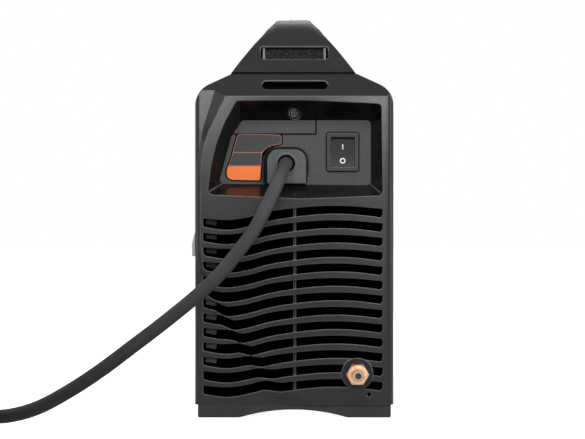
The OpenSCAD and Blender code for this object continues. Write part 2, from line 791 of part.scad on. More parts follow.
// The legs keep the flared outline and the grip between them is a narrow bar
module handle() {
  grip_from = grip_y - 6;
  color([0.15, 0.15, 0.16]) place() difference() {
    intersection() {
      along_x(-half_w, half_w) handle_profile();
      along_y(rear_y - 1, front_y + 1) handle_front();
      union() {
        for (s = [-1, 1]) scale([1, s, 1]) box([-half_w, rear_y, 0], [half_w, grip_from, end_x]);
        translate([handle_x, 0, 0])
          box([-grip_half, grip_from - 1, 0], [grip_half, -grip_from + 1, end_x]);
      }
    }
    for (s = [0, 1]) mirror([0, s, 0]) {
      // strap slot
      translate([0, leg_outer(strap_z), strap_z]) rotate([-roof_lean, 0, 0])
        along_y(-4, pad_depth) polygon(rect_pts(strap_w, strap_h, strap_r));
      for (sx = [-1, 1]) translate([sx * handle_screw_x, handle_screw_y, leg_z0 - 1])
        cylinder(r = pilot_r, h = pilot_l);
    }
  }
}
module strap_pads() {
  pad_w = strap_w - 2 * pad_gap;
  color([0.22, 0.22, 0.23]) place() for (s = [0, 1]) mirror([0, s, 0])
    translate([0, leg_outer(strap_z), strap_z]) rotate([-roof_lean, 0, 0]) {
      for (sx = [-1, 1]) translate([sx * (pad_w + pad_rib) / 2, 0, 0])
        box([-pad_rib / 2, rib_sunk, -pad_h / 2], [pad_rib / 2, pad_depth, pad_h / 2]);
      box([-pad_w / 2 - EPS, pad_sunk, -pad_h / 2], [pad_w / 2 + EPS, pad_depth, pad_h / 2]);
    }
}
module handle_screws() {
  head_z = cap_top - cap_t;
  color([0.35, 0.35, 0.37]) place()
    for (s = [-1, 1], sx = [-1, 1]) translate([sx * handle_screw_x, s * handle_screw_y, 0]) {
      translate([0, 0, head_z - screw_head_h]) cylinder(r = screw_head, h = screw_head_h);
      translate([0, 0, head_z]) cylinder(r = pilot_r - 0.05, h = pilot_l - 1);
    }
}

// ---------- cover, base pan and side hook ----------

pan_side = cover_half - sheet_t - 0.3;   // outer face of the base pan's upstands
pan_top = panel_z0 - panel_t;            // top of the pan's floor
pan_up = 48;                             // top of the pan's upstands
pan_clear = 2;                           // gap between the upstands and the panels' flanges
pan_slot_pitch = 13;
pan_slot_l = 48;
pan_slot_w = 4;
cover_screw_z = 34;
cover_screw_y = body_d / 2 - 90;
louvre_n = 10;
louvre_pitch = 11;
louvre_l = 62;
louvre_w = 4;
louvre_y = 18;                           // first louvre
louvre_z = 106;
louvre_lean = 12;
cover_hole = 2.2;
cover_screw_head = 4;
cover_screw_h = 2.4;
module at_cover_screws() {
  for (s = [-1, 1], y = [-cover_screw_y, 0, cover_screw_y])
    scale([s, 1, 1]) translate([0, y, cover_screw_z]) children();
}
module cover() {
  color([0.17, 0.17, 0.18]) place() difference() {
    along_y(inner_y + cover_gap, -inner_y - cover_gap) difference() {
      polygon(cover_pts(0, cover_z0));
      polygon(cover_pts(sheet_t, cover_z0 - 1));
    }
    for (s = [-1, 1], i = [0:louvre_n - 1]) scale([s, 1, 1])
      along_x(cover_half - 3, cover_half + 1)
        translate([louvre_y + i * louvre_pitch, louvre_z]) rotate([0, 0, -louvre_lean])
        polygon(rect_pts(louvre_w, louvre_l, louvre_w / 2 - 0.1, 3));
    at_cover_screws() rod_x(cover_hole, cover_half - 4, cover_half + 1);
  }
}
module cover_screws() {
  color([0.35, 0.35, 0.37]) place() at_cover_screws() {
    rod_x(cover_screw_head, cover_half, cover_half + cover_screw_h);
    rod_x(pilot_r - 0.05, rail_x + 0.3, cover_half + 0.5);
  }
}
module base_pan() {
  y1 = -inner_y;
  color([0.55, 0.56, 0.58]) place() difference() {
    along_y(-y1, y1) polygon([
      [-pan_side, pan_top - panel_t], [pan_side, pan_top - panel_t], [pan_side, pan_up],
      [pan_side - panel_t, pan_up], [pan_side - panel_t, pan_top],
      [-pan_side + panel_t, pan_top], [-pan_side + panel_t, pan_up], [-pan_side, pan_up]
    ]);
    // the panels' flanges lie on the floor, and the upstands stop short of them
    for (s = [-1, 1]) scale([1, s, 1])
      box([-end_x / 2, -y1 - 1, pan_top + EPS], [end_x / 2, floor_y + panel_foot + pan_clear, pan_up + 1]);
    at_cover_screws() rod_x(pilot_r, pan_side - 3, pan_side + 1);
    // air slots in the floor
    for (i = [-5:5]) translate([0, i * pan_slot_pitch, 0])
      box([-pan_slot_l / 2, -pan_slot_w / 2, pan_top - 3], [pan_slot_l / 2, pan_slot_w / 2, pan_top + 1]);
  }
}
module side_hook() {
  z0 = 128.8;
  hook_y = cap_edge + 3;
  hook_l = 24;
  wall = -cover_half;
  out = -half_w - hook_out;
  color([0.72, 0.72, 0.73]) place() along_y(hook_y, hook_y + hook_l) polygon([
    [wall, z0], [out, z0], [out, z0 + 10], [out + 1, z0 + 15], [out + 2.4, z0 + 19.5],
    [out + 2.4, z0 + 3], [wall - 1.8, z0 + 3], [wall - 1.8, z0 + 22], [wall, z0 + 22]
  ]);
}

// ---------- front cap and panel, laid out like the rear ----------

control_d = 12;
control_y = rear_y + control_d;   // face of the control recess's floor
control_t = 3;
overlay_t = 1;
overlay_in = 1.2;
board_gap = 7;
board_t = 1.6;
board_w = 114;
board_h = 50;
board_y = control_y + control_t + board_gap;
board_c = [2, 213];
front_screw_x = 58;
front_screw_z = 112;
front_post_r = 6;
torch_x = socket_x;
work_x = -socket_x;
torch_r = 14.8;
work_r = 11.8;
socket_gap = 0.3;
knob_c = [36, 213];
button_r = button_dia / 2;
button_gap = 0.3;
button_out = 2.6;
neck_hole = 4.5;                  // hole for the potentiometer's neck
neck_r = 4.2;
mode_c = [-38, 197];
test_c = [-14, 197];
lens_r = 2.4;
lens_stem = 1.4;
lens_at = [[-40, 208.5], [-28, 208.5], [-16, 208.5], [-4, 208.5]];
display_c = [-18, 224];
display_w = 40;
display_h = 16;
display_rim = 3;
board_post = 3;
post_at = [[-43, 230], [54, 231], [-50, 194], [54, 194]];

module at_control(c) { translate([c[0], 0, c[1]]) children(); }
module front_bezel() {
  color([0.16, 0.16, 0.17]) front_place() difference() {
    union() {
      difference() {
        union() {
          cap_shell([1, 2, 3, 4, slot_n - 1, slot_n]);
          intersection() {
            recess_body(control_d + control_t, recess_t, -1);
            cap_form();
          }
        }
        recess_body(control_d, 0, 1);
      }
      for (c = post_at) at_control(c) rod_y(board_post, control_y + 1, board_y);
      for (sx = [-1, 1])
        translate([sx * front_screw_x, 0, front_screw_z]) rod_y(front_post_r, rear_y + slat_d - 1, floor_y);
    }
    for (sx = [-1, 1])
      translate([sx * front_screw_x, 0, front_screw_z]) rod_y(screw_hole, rear_y - 1, floor_y + 1);
    at_control([torch_x, socket_z]) rod_y(torch_r + socket_gap, rear_y - 1, floor_y);
    at_control([work_x, socket_z]) rod_y(work_r + socket_gap, rear_y - 1, floor_y);
    at_control(knob_c) rod_y(neck_hole, control_y - 1, board_y);
    for (c = [mode_c, test_c]) at_control(c) rod_y(button_r + button_gap, control_y - 1, board_y);
    for (c = lens_at) at_control(c) rod_y(lens_stem + 0.1, control_y - 1, board_y);
    translate([0, control_y, 0]) along_y(-1, control_t + 1) translate(display_c)
      square([display_w - 2 * display_rim, display_h - 2 * display_rim], center = true);
  }
}
outlet_z = [24, 38, 132, 146, 160, 174];
outlet_half = 50;
outlet_h = 8;
module front_panel() {
  color([0.55, 0.56, 0.58]) front_place() {
    difference() {
      along_y(floor_y, floor_y + panel_t) polygon(cover_pts(panel_inset, panel_z0));
      at_control([torch_x, socket_z]) rod_y(torch_r + socket_gap, floor_y - 1, floor_y + 4);
      at_control([work_x, socket_z]) rod_y(work_r + socket_gap, floor_y - 1, floor_y + 4);
      for (sx = [-1, 1])
        translate([sx * front_screw_x, 0, front_screw_z]) rod_y(screw_shank + 0.1, floor_y - 1, floor_y + 4);
      // air outlets
      for (z = outlet_z) box([-outlet_half, floor_y - 1, z], [outlet_half, floor_y + 4, z + outlet_h]);
    }
    panel_flange();
  }
}
module control_overlay() {
  color([0.06, 0.06, 0.07]) front_place() difference() {
    along_y(control_y - overlay_t, control_y) hull() outline_of(recess_floor, -overlay_in);
    translate([0, control_y, 0]) along_y(-2, 1) translate(display_c)
      square([display_w + 0.4, display_h + 0.4], center = true);
    at_control(knob_c) rod_y(neck_hole, control_y - 2, control_y + 1);
    for (c = [mode_c, test_c]) at_control(c) rod_y(button_r + button_gap, control_y - 2, control_y + 1);
    for (c = lens_at) at_control(c) rod_y(lens_r + 0.1, control_y - 2, control_y + 1);
  }
}
module display_window() {
  color([0.25, 0.05, 0.05]) front_place() translate([0, control_y, 0])
    along_y(-overlay_t - 0.2, 0) translate(display_c) square([display_w, display_h], center = true);
}
module indicator_lenses() {
  color([0.3, 0.75, 0.35]) front_place() for (c = lens_at) at_control(c) {
    rod_y(lens_r, control_y - overlay_t - 1, control_y);
    rod_y(lens_stem, control_y - 1, board_y);
  }
}
knob_gap = 0.6;
knob_y = control_y - overlay_t - knob_gap;
knob_skirt = knob_h * 0.3;        // height of the knob's plain skirt
knob_inner = knob_y - knob_h + 3; // end of the shaft's hole
shaft_gap = 0.02;
flute_n = 16;
flute_r = 1.8;
module current_knob() {
  r = knob_dia / 2;
  color([0.12, 0.12, 0.13]) front_place() at_control(knob_c) difference() {
    union() {
      rod_y(r, knob_y - knob_skirt, knob_y);
      translate([0, knob_y - knob_skirt + EPS, 0]) rotate([90, 0, 0])
        cylinder(r1 = r - 2, r2 = r - 3.4, h = knob_h - knob_skirt);
    }
    for (i = [0:flute_n - 1]) rotate([0, 360 * i / flute_n, 0])
      translate([r - 0.6, 0, 0]) rod_y(flute_r, knob_y - knob_h - 1, knob_y - knob_skirt);
    // pointer groove
    box([-0.8, knob_y - knob_h - 1, 4], [0.8, knob_y - knob_h + 0.8, r]);
    rod_y(shaft_dia / 2 + shaft_gap, knob_inner, knob_y + 1);
  }
}
module knob_shaft() {
  color([0.7, 0.7, 0.72]) front_place() at_control(knob_c)
    rod_y(shaft_dia / 2, knob_inner, board_y - 1.5);
}
pot_r = 8.2;
module potentiometer() {
  color([0.2, 0.35, 0.25]) front_place() at_control(knob_c) difference() {
    union() {
      rod_y(pot_r, control_y + control_t, board_y);
      rod_y(neck_r, control_y + 0.5, control_y + control_t + 1);
    }
    rod_y(shaft_dia / 2 + 2 * shaft_gap, control_y - 1, board_y - 1);
  }
}
button_rim = 1.2;
rim_y = control_y + control_t + 0.3;
rim_t = 1.9;
module push_button(c) {
  at_control(c) {
    rod_y(button_r, control_y - overlay_t - button_out, rim_y + 1);
    rod_y(button_r + button_rim, rim_y, rim_y + rim_t);
  }
}
module mode_button() { color([0.75, 0.3, 0.12]) front_place() push_button(mode_c); }
module air_test_button() { color([0.4, 0.4, 0.42]) front_place() push_button(test_c); }
module control_board() {
  tact = rim_y + rim_t + button_travel + 0.3;
  color([0.1, 0.35, 0.2]) front_place() {
    along_y(board_y, board_y + board_t) translate(board_c) polygon(rect_pts(board_w, board_h, 3));
    for (c = [mode_c, test_c]) at_control(c) rod_y(3, tact, board_y + 0.5);
  }
}

// ---------- sockets ----------

socket_flange = 3;
socket_back = 12;                 // reach of the sockets behind the steel panel
torch_flange = 19;
work_flange = 15;
tube_r = 5;                       // gas tube of the torch socket
module round_socket(c, r, flange_r, back) {
  at_control(c) {
    rod_y(flange_r, rear_y - socket_flange, rear_y);
    rod_y(r, rear_y - 1, inner_y + back);
    rod_y(r - 1, rear_y - socket_reach, rear_y - 2);
  }
}
torch_cup = 10.5;
module torch_socket() {
  color([0.1, 0.1, 0.11]) front_place() difference() {
    round_socket([torch_x, socket_z], torch_r, torch_flange, socket_back);
    at_control([torch_x, socket_z]) {
      rod_y(torch_cup, rear_y - socket_reach - 1, rear_y - 1);
      rod_y(tube_r + shaft_gap, rear_y - 2, inner_y + socket_back + 1);
    }
  }
}
// Gas tube and pilot pins of the torch socket, with the hose tail behind it
module torch_pins() {
  color([0.85, 0.68, 0.35]) front_place() at_control([torch_x, socket_z]) {
    difference() {
      rod_y(tube_r, rear_y - socket_reach + 2, inner_y + socket_back);
      rod_y(tube_r / 2, rear_y - socket_reach + 1, rear_y + 10);
    }
    rod_y(barb_r, inner_y + socket_back - 1, inner_y + socket_back + 12);
  }
}
insert_r = 8.4;
bore_l = 16;
key_w = 3;
key_l = 7;
key_out = 2;
nut_t = 6;
torch_nut = 38;                   // sizes across flats
work_nut = 32;
module work_socket() {
  color([0.1, 0.1, 0.11]) front_place() difference() {
    round_socket([work_x, socket_z], work_r, work_flange, socket_back);
    at_control([work_x, socket_z])
      rod_y(insert_r + shaft_gap, rear_y - socket_reach - 1, inner_y + socket_back + 1);
  }
}
module work_insert() {
  color([0.85, 0.68, 0.35]) front_place() at_control([work_x, socket_z]) difference() {
    rod_y(insert_r, rear_y - socket_reach + 1, inner_y + socket_back + 6);
    rod_y(work_bore / 2, rear_y - socket_reach, rear_y + bore_l);
    // key slot of the bayonet
    box([-key_w / 2, rear_y - socket_reach, 0],
      [key_w / 2, rear_y - socket_reach + key_l, work_bore / 2 + key_out]);
  }
}
module back_nut(c, r, af, thick) {
  at_control(c) difference() {
    translate([0, inner_y + thick, 0]) rotate([90, 30, 0])
      cylinder(r = af / 2 / cos(30), h = thick, $fn = 6);
    rod_y(r + pin_gap, inner_y - 1, inner_y + thick + 1);
  }
}
module torch_socket_nut() {
  color([0.7, 0.7, 0.72]) front_place() back_nut([torch_x, socket_z], torch_r, torch_nut, nut_t);
}
module work_socket_nut() {
  color([0.7, 0.7, 0.72]) front_place() back_nut([work_x, socket_z], work_r, work_nut, nut_t);
}

// ---------- fan ----------

fan_y0 = inner_y;
fan_y1 = fan_y0 + fan_depth;
fan_ring = fan_size / 2 - 3;
motor_r = 19;
fan_shaft = 2;
fan_r = 6;                        // corners of the frame
spoke = 4;
hub_h = 6;
fan_bore = 2.05;                  // holes for the fan's screws
fan_bore_l = 12;
blade_t = 1.8;
blade_pitch = 52;
module fan_frame() {
  color([0.08, 0.08, 0.09]) place() translate([0, 0, fan_z]) difference() {
    union() {
      difference() {
        along_y(fan_y0, fan_y1) polygon(rect_pts(fan_size, fan_size, fan_r));
        rod_y(fan_ring, fan_y0 - 1, fan_y1 + 1);
      }
      for (a = [45:90:315]) rotate([0, a, 0])
        box([motor_r - spoke, fan_y1 - spoke, -spoke / 2], [fan_ring + 2, fan_y1, spoke / 2]);
      rod_y(motor_r - 1, fan_y1 - hub_h, fan_y1);
    }
    rod_y(fan_shaft + pin_gap, fan_y1 - hub_h - 1, fan_y1 + 1);
    for (sx = [-1, 1], sz = [-1, 1])
      translate([sx * fan_screw, 0, sz * fan_screw]) rod_y(fan_bore, fan_y0 - 1, fan_y0 + fan_bore_l);
  }
}
module fan_rotor() {
  y0 = fan_y0 + 2;
  y1 = fan_y1 - hub_h - 2;
  chord = (y1 - y0 - 3) / sin(blade_pitch);
  color([0.1, 0.1, 0.11]) place() translate([0, 0, fan_z]) {
    rod_y(motor_r, y0, y1);
    rod_y(fan_shaft, y1 - 1, fan_y1 - 1);
    intersection() {
      rod_y(fan_ring - tip_gap, y0, y1);
      for (i = [0:blade_n - 1]) rotate([0, 360 * i / blade_n, 0])
        translate([fan_ring / 2 + 6, (y0 + y1) / 2, 0]) rotate([blade_pitch, 0, 0])
        cube([fan_ring - 6, blade_t, chord], center = true);
    }
  }
}
fan_head = 3.6;
fan_head_h = 2.2;
module fan_screws() {
  color([0.35, 0.35, 0.37]) place()
    for (sx = [-1, 1], sz = [-1, 1]) translate([sx * fan_screw, 0, fan_z + sz * fan_screw]) {
      rod_y(fan_head, floor_y - fan_head_h, floor_y);
      rod_y(screw_shank, floor_y - 1, fan_y0 + fan_bore_l - 1);
    }
}

// ---------- power electronics ----------

rail_gap = 1.2;
rail_x = pan_side - panel_t - rail_gap;
rail_end = 51.5;                  // the rails stop short of fan and sockets
rail_l = -inner_y - rail_end;
rail_flange = 10.5;
rail_lip = 12.5;                  // the board lies on the lips
rail_top = 166;
rail_t = 1.5;
module board_rails() {
  color([0.55, 0.56, 0.58]) place() for (s = [-1, 1]) scale([s, 1, 1])
    along_y(-rail_l, rail_l) polygon([
      [rail_x, pan_top], [rail_x - rail_flange, pan_top], [rail_x - rail_flange, pan_top + rail_t],
      [rail_x - rail_t, pan_top + rail_t], [rail_x - rail_t, rail_top - rail_t],
      [rail_x - rail_lip, rail_top - rail_t], [rail_x - rail_lip, rail_top], [rail_x, rail_top]
    ]);
}
pcb_t = 1.6;
pcb_in = 0.5;
can_x = [-38, 0, 38];
can_y = [-84, -44];
can_r = 15;
can_h = 48;
can_rim = 0.6;
can_rim_h = 3;
module main_board() {
  color([0.1, 0.33, 0.2]) place()
    box([-rail_x + pcb_in, -rail_l, rail_top], [rail_x - pcb_in, rail_l, rail_top + pcb_t]);
}
module capacitors() {
  color([0.15, 0.2, 0.45]) place()
    for (x = can_x, y = can_y) translate([x, y, rail_top + pcb_t]) {
      cylinder(r = can_r, h = can_h);
      cylinder(r = can_r + can_rim, h = can_rim_h);
    }
}
sink_z = 116;
sink_x = 6;
sink_y0 = -104;
sink_y1 = 16;
sink_base = 7;
fin_n = 9;
fin_pitch = 6;
fin_t = 2;
module heat_sinks() {
  color([0.75, 0.76, 0.78]) place() for (s = [-1, 1]) scale([s, 1, 1]) {
    box([sink_x, sink_y0, rail_top - sink_base],
      [sink_x + (fin_n - 1) * fin_pitch + fin_t, sink_y1, rail_top]);
    for (i = [0:fin_n - 1])
      box([sink_x + i * fin_pitch, sink_y0, sink_z],
        [sink_x + i * fin_pitch + fin_t, sink_y1, rail_top - sink_base + EPS]);
  }
}
core_w = 66;
core_h = 58;
core_d = 30;
core_leg = 18;
core_rim = 9;
core_y = 62;
window_h = core_h - 2 * core_rim;
wind_gap = 0.3;                   // gap between a winding and its core
module transformer_core() {
  color([0.2, 0.2, 0.21]) place() difference() {
    box([-core_w / 2, core_y - core_d / 2, pan_top], [core_w / 2, core_y + core_d / 2, pan_top + core_h]);
    for (s = [-1, 1]) scale([s, 1, 1])
      box([core_leg / 2, 0, pan_top + core_rim],
        [core_w / 2 - core_rim, 2 * core_y, pan_top + core_rim + window_h]);
  }
}
module transformer_winding() {
  turn_t = core_w / 2 - core_rim - core_leg / 2 - 2 * wind_gap;
  inner = [core_leg + 2 * wind_gap, core_d + 2 * wind_gap];
  color([0.75, 0.45, 0.2]) place() translate([0, core_y, pan_top + core_rim + wind_gap])
    linear_extrude(window_h - 2 * wind_gap) difference() {
      polygon(rect_pts(inner[0] + 2 * turn_t, inner[1] + 2 * turn_t, 8));
      polygon(rect_pts(inner[0], inner[1], 0.3, 1));
    }
}
choke_y = -44;
choke_x = -22;
wire = 4.6;
ring_r = 20;                      // inner radius, width and height of the ring core
ring_w = 13;
ring_h = 18;
choke_z0 = pan_top + wire + wind_gap + 0.4;
module choke_core() {
  color([0.55, 0.5, 0.2]) place() translate([choke_x, choke_y, choke_z0])
    rotate_extrude() translate([ring_r, 0]) square([ring_w, ring_h]);
}
module choke_winding() {
  out = wind_gap + wire;
  color([0.72, 0.42, 0.18]) place() translate([choke_x, choke_y, choke_z0])
    rotate_extrude(angle = 300) difference() {
      translate([ring_r - out, -out]) square([ring_w + 2 * out, ring_h + 2 * out]);
      translate([ring_r - wind_gap, -wind_gap]) square([ring_w + 2 * wind_gap, ring_h + 2 * wind_gap]);
    }
}

// ---------- air line ----------

valve_y0 = inner_y + 61.5;
valve_l = 28;
valve_y1 = valve_y0 + valve_l;
valve_half = 11;
valve_top = 50;
valve_bore = 2;
solenoid_r = 10.5;
solenoid_h = 26;
reg_l = 40;
reg_y1 = valve_y1 + reg_l;
reg_half = 12;
reg_cap_r = 9;
reg_cap_h = 24;
bowl_r = 10.5;
bowl_h = 10;
barb_end = reg_y1 + barb_l;       // where the regulator's hose tail ends
hose_bore = barb_r + snug;
module air_valve() {
  color([0.62, 0.6, 0.55]) place() difference() {
    union() {
      box([inlet_x - valve_half - 1, valve_y0, pan_top], [inlet_x + valve_half, valve_y1, valve_top]);
      translate([inlet_x, 0, inlet_z]) rod_y(barb_r, valve_y0 - barb_l, valve_y0 + 1);
      translate([inlet_x, (valve_y0 + valve_y1) / 2, valve_top - EPS])
        cylinder(r = solenoid_r, h = solenoid_h);
    }
    translate([inlet_x, 0, inlet_z]) rod_y(valve_bore, valve_y0 - barb_l - 1, valve_y1 + 1);
  }
}
module air_regulator() {
  color([0.3, 0.3, 0.32]) place() translate([inlet_x, 0, 0]) {
    box([-valve_half, valve_y1, inlet_z - reg_half], [valve_half, reg_y1, inlet_z + reg_half]);
    translate([0, (valve_y1 + reg_y1) / 2, pan_top]) cylinder(r = bowl_r, h = bowl_h);
    translate([0, (valve_y1 + reg_y1) / 2, inlet_z + reg_half - 1]) cylinder(r = reg_cap_r, h = reg_cap_h);
    translate([0, 0, inlet_z]) rod_y(barb_r, reg_y1 - 1, barb_end);
  }
}
hose_gap = 0.3;                   // between a hose's end and the shoulder it points at
module air_hose() {
  color([0.1, 0.25, 0.5]) place() translate([inlet_x, 0, inlet_z]) difference() {
    rod_y(hose_dia / 2, inner_y + stem_out + hose_gap, valve_y0 - hose_gap);
    rod_y(hose_bore, inner_y + stem_out - 1, valve_y0 + 1);
  }
}
// Middle line of the hose from the regulator to the torch socket
hose_end = -inner_y - 24;
hose_lead = 12;                   // straight stretch behind the regulator's hose tail
hose_bend = [110, 70, 40, 24];    // distances before the socket at which the hose turns upward
hose_lift = [0, 2, 20];           // how far it has risen there
hose_side = [3, 2];               // and how far it swings aside
hose_rise = 6;                    // what is left to rise at the last turn
hose_tail = [10, 5];              // straight end at the socket
hose_path = [
  [inlet_x, barb_end, inlet_z], [inlet_x, barb_end + hose_lead, inlet_z],
  [inlet_x, hose_end - hose_bend[0], inlet_z + hose_lift[0]],
  [inlet_x, hose_end - hose_bend[1], inlet_z + hose_lift[1]],
  [inlet_x - hose_side[0], hose_end - hose_bend[2], inlet_z + hose_lift[2]],
  [torch_x + hose_side[1], hose_end - hose_bend[3], socket_z - hose_rise],
  [torch_x, hose_end - hose_tail[0], socket_z], [torch_x, hose_end - hose_tail[1], socket_z],
  [torch_x, hose_end, socket_z]
];
module torch_hose() { color([0.1, 0.25, 0.5]) place() tube(hose_path, hose_dia / 2, 8, 3); }

// ---------- swept tubes ----------

// A point on the smooth line through a list of points, u from 0 to len - 1
function path_at(p, u) =
  let (
    i = min(floor(u), len(p) - 2),
    t = u - i,
    a = p[max(i - 1, 0)],
    b = p[i],
    c = p[i + 1],
    d = p[min(i + 2, len(p) - 1)]
  )
  0.5 * (2 * b + (c - a) * t + (2 * a - 5 * b + 4 * c - d) * t ^ 2 + (3 * b - a - 3 * c + d) * t ^ 3);
function unit(v) = v / norm(v);
// Rings of a tube, each square to its middle line
function tube_rings(q, r, sides) = [
  for (i = [0:len(q) - 1])
    let (
      t = unit(q[min(i + 1, len(q) - 1)] - q[max(i - 1, 0)]),
      n = unit(cross(t, [0, 0, 1])),
      m = cross(n, t)
    )
    [for (k = [0:sides - 1]) let (a = 360 * (k + 0.5) / sides) q[i] + r * cos(a) * n + r * sin(a) * m]
];
module tube(p, r, sides, steps) {
  n = (len(p) - 1) * steps;
  swept(tube_rings([for (i = [0:n]) path_at(p, i / steps)], r, sides));
}

// ---------- mains cable, coil and plug ----------

coil_c = [-300, -330];
layer_step = cable_d + coil_gap;
tie_t = 1.5;
tie_gap = 0.4;
tie_floor = 0.1;                  // height of the tie's underside
layer_z0 = cable_d / 2 + tie_t + tie_gap + tie_floor;
layer_z = [layer_z0, layer_z0 + layer_step];
coil_out = coil_r + layer_step * coil_turns / 4;
coil_top_y = coil_c[1] + coil_out;
// Middle line of the free stretch, from the clamp down to the floor and to the coil
cable_path = [
  [hole_x, cable_seat, hole_z], [hole_x, -179, hole_z], [hole_x, -184, hole_z],
  [-7.6, -194.8, 203.4], [-9.1, -205.5, 199.4], [-11.6, -214.7, 193], [-15.1, -222.2, 184.7],
  [-22, -230.6, 169.9], [-31.2, -234.8, 151.9], [-43.6, -244.5, 134.9], [-57.4, -266.2, 117.5],
  [-76, -281, 100], [-98, -297.5, 82], [-121, -308.5, 64.5], [-145, -309.5, 46.5], [-170, -302, 30],
  [-196, -288, 16], [-221, -273, 8.6], [-244, -261.5, layer_z[0]], [-266, coil_top_y, layer_z[0]],
  [coil_c[0] + cable_d, coil_top_y, layer_z[0]]
];
module mains_cable() { color([0.16, 0.16, 0.17]) place() tube(cable_path, cable_d / 2, 10, 2); }

// Radius and height of the coil's middle line after a number of turns
loop_rings = 24;
function coil_radius(t) = coil_out - layer_step * min(t, coil_turns - t);
function coil_height(t) =
  let (u = ease((t - coil_turns / 2) / 0.5 + 0.5)) layer_z[0] * (1 - u) + layer_z[1] * u;
function coil_point(t) =
  let (a = 90 + 360 * t, r = coil_radius(t))
  [coil_c[0] + r * cos(a), coil_c[1] + r * sin(a), coil_height(t)];
coil_line = concat(
  [[coil_c[0] + cable_d, coil_top_y, layer_z[0]]],
  [for (i = [0:loop_rings * coil_turns]) coil_point(i / loop_rings)],
  [[coil_c[0] - plug_lead / 2, coil_top_y, layer_z[1]], [coil_c[0] - plug_lead, coil_top_y, layer_z[1]]]
);
// Least gap of the coil to itself, on points at least half a turn apart
coil_near = min([
  for (i = [0:2:loop_rings * coil_turns], j = [i + loop_rings / 2:1:loop_rings * coil_turns])
    norm(coil_point(i / loop_rings) - coil_point(j / loop_rings))
]) - cable_d;
echo(coil_least_gap = coil_near);
assert(coil_near > 0.4, "the coil's turns touch");
module cable_coil() {
  color([0.16, 0.16, 0.17]) place() swept(tube_rings(coil_line, cable_d / 2, 6));
}
tie_w = 12;
tie_r = 5;
tie_side = 0.9;                   // room for the turns' curve inside the tie
module coil_tie() {
  w = layer_step * (coil_turns / 2 - 0.5) + cable_d + 2 * tie_side;
  z0 = tie_floor;
  z1 = layer_z[1] + cable_d / 2 + tie_gap + tie_t;
  color([0.1, 0.1, 0.1]) place() translate([coil_c[0] - coil_r, coil_c[1], 0])
    along_y(-tie_w / 2, tie_w / 2) difference() {
      translate([0, (z0 + z1) / 2]) polygon(rect_pts(w + 2 * tie_t, z1 - z0, tie_r));
      translate([0, (z0 + z1) / 2]) polygon(rect_pts(w, z1 - z0 - 2 * tie_t, tie_r - tie_t));
    }
}
plug_at = [coil_c[0] - plug_lead, coil_top_y, layer_z[1]];
plug_l = 56;
pin_pitch = 19;
plug_pin_r = 2.4;
plug_pin_l = 19;
module mains_plug() {
  r = plug_dia / 2;
  color([0.12, 0.12, 0.13]) place() translate(plug_at) rotate([0, -90, 0]) rotate_extrude()
    polygon([[0, 0], [7.2, 0], [8.2, 14], [11, 20], [13.5, 34], [r - 0.5, 40],
      [r - 0.5, plug_l], [0, plug_l]]);
}
module plug_pins() {
  color([0.75, 0.75, 0.77]) place() translate(plug_at) translate([-plug_l, 0, 0])
    for (s = [-1, 1]) translate([0, s * pin_pitch / 2, 0]) rod_x(plug_pin_r, -plug_pin_l, 0);
}

// ---------- what is drawn ----------

rear_bezel();
rear_panel();
cable_clamp();
bezel_screws();
switch_housing();
switch_rocker();
intake_filter();
air_inlet_nut();
air_inlet_spigot();
rear_foot();
front_foot();
handle();
strap_pads();
handle_screws();
cover();
cover_screws();
side_hook();
base_pan();
front_bezel();
front_panel();
control_overlay();
display_window();
indicator_lenses();
current_knob();
knob_shaft();
potentiometer();
mode_button();
air_test_button();
control_board();
torch_socket();
torch_pins();
torch_socket_nut();
work_socket();
work_insert();
work_socket_nut();
fan_frame();
fan_rotor();
fan_screws();
board_rails();
main_board();
capacitors();
heat_sinks();
transformer_core();
transformer_winding();
choke_core();
choke_winding();
air_hose();
air_valve();
air_regulator();
torch_hose();
mains_cable();
cable_coil();
coil_tie();
mains_plug();
plug_pins();
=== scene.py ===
# %% [markdown]
# # Plasma cutter unit
# The solids of this cutter come from the CAD frame. This notebook gives them their finishes, lays
# the mains cable, adds the small printed and pressed-in details, and sets the light and the
# camera.

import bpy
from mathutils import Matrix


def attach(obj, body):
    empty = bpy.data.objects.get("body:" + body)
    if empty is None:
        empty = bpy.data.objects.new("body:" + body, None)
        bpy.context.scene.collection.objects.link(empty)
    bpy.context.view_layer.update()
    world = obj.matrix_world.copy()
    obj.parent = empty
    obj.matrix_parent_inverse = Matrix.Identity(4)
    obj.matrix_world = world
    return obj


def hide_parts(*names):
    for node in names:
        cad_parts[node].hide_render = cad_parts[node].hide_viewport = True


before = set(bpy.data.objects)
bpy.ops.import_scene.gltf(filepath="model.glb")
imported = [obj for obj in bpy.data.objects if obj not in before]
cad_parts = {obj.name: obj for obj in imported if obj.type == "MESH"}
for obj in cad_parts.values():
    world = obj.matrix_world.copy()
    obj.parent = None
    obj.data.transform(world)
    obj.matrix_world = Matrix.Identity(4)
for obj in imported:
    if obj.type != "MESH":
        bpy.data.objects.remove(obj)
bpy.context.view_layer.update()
print("nodes:", len(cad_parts))

# %% Modules, units and the drawing's origin
import math
from functools import partialmethod

import bmesh
import bpy
from mathutils import Matrix, Vector

MM = 0.001
ORIGIN = Vector((2.5, 5.5, 0.0)) * MM
HOUSING = "housing"
scene = bpy.context.scene


def at(x, y, z):
    """A point of the drawing, in millimetres, as a point of the frame in metres."""
    return Vector((x, y, z)) * MM + ORIGIN


def at_x(x):
    """The drawing's x, in millimetres, as the frame's in metres."""
    return at(x, 0, 0).x


def at_y(y):
    """The drawing's y, in millimetres, as the frame's in metres."""
    return at(0, y, 0).y


def add(name, data):
    """A new object of the scene, with its mesh, curve, lamp or camera."""
    made = bpy.data.objects.new(name, data)
    scene.collection.objects.link(made)
    return made


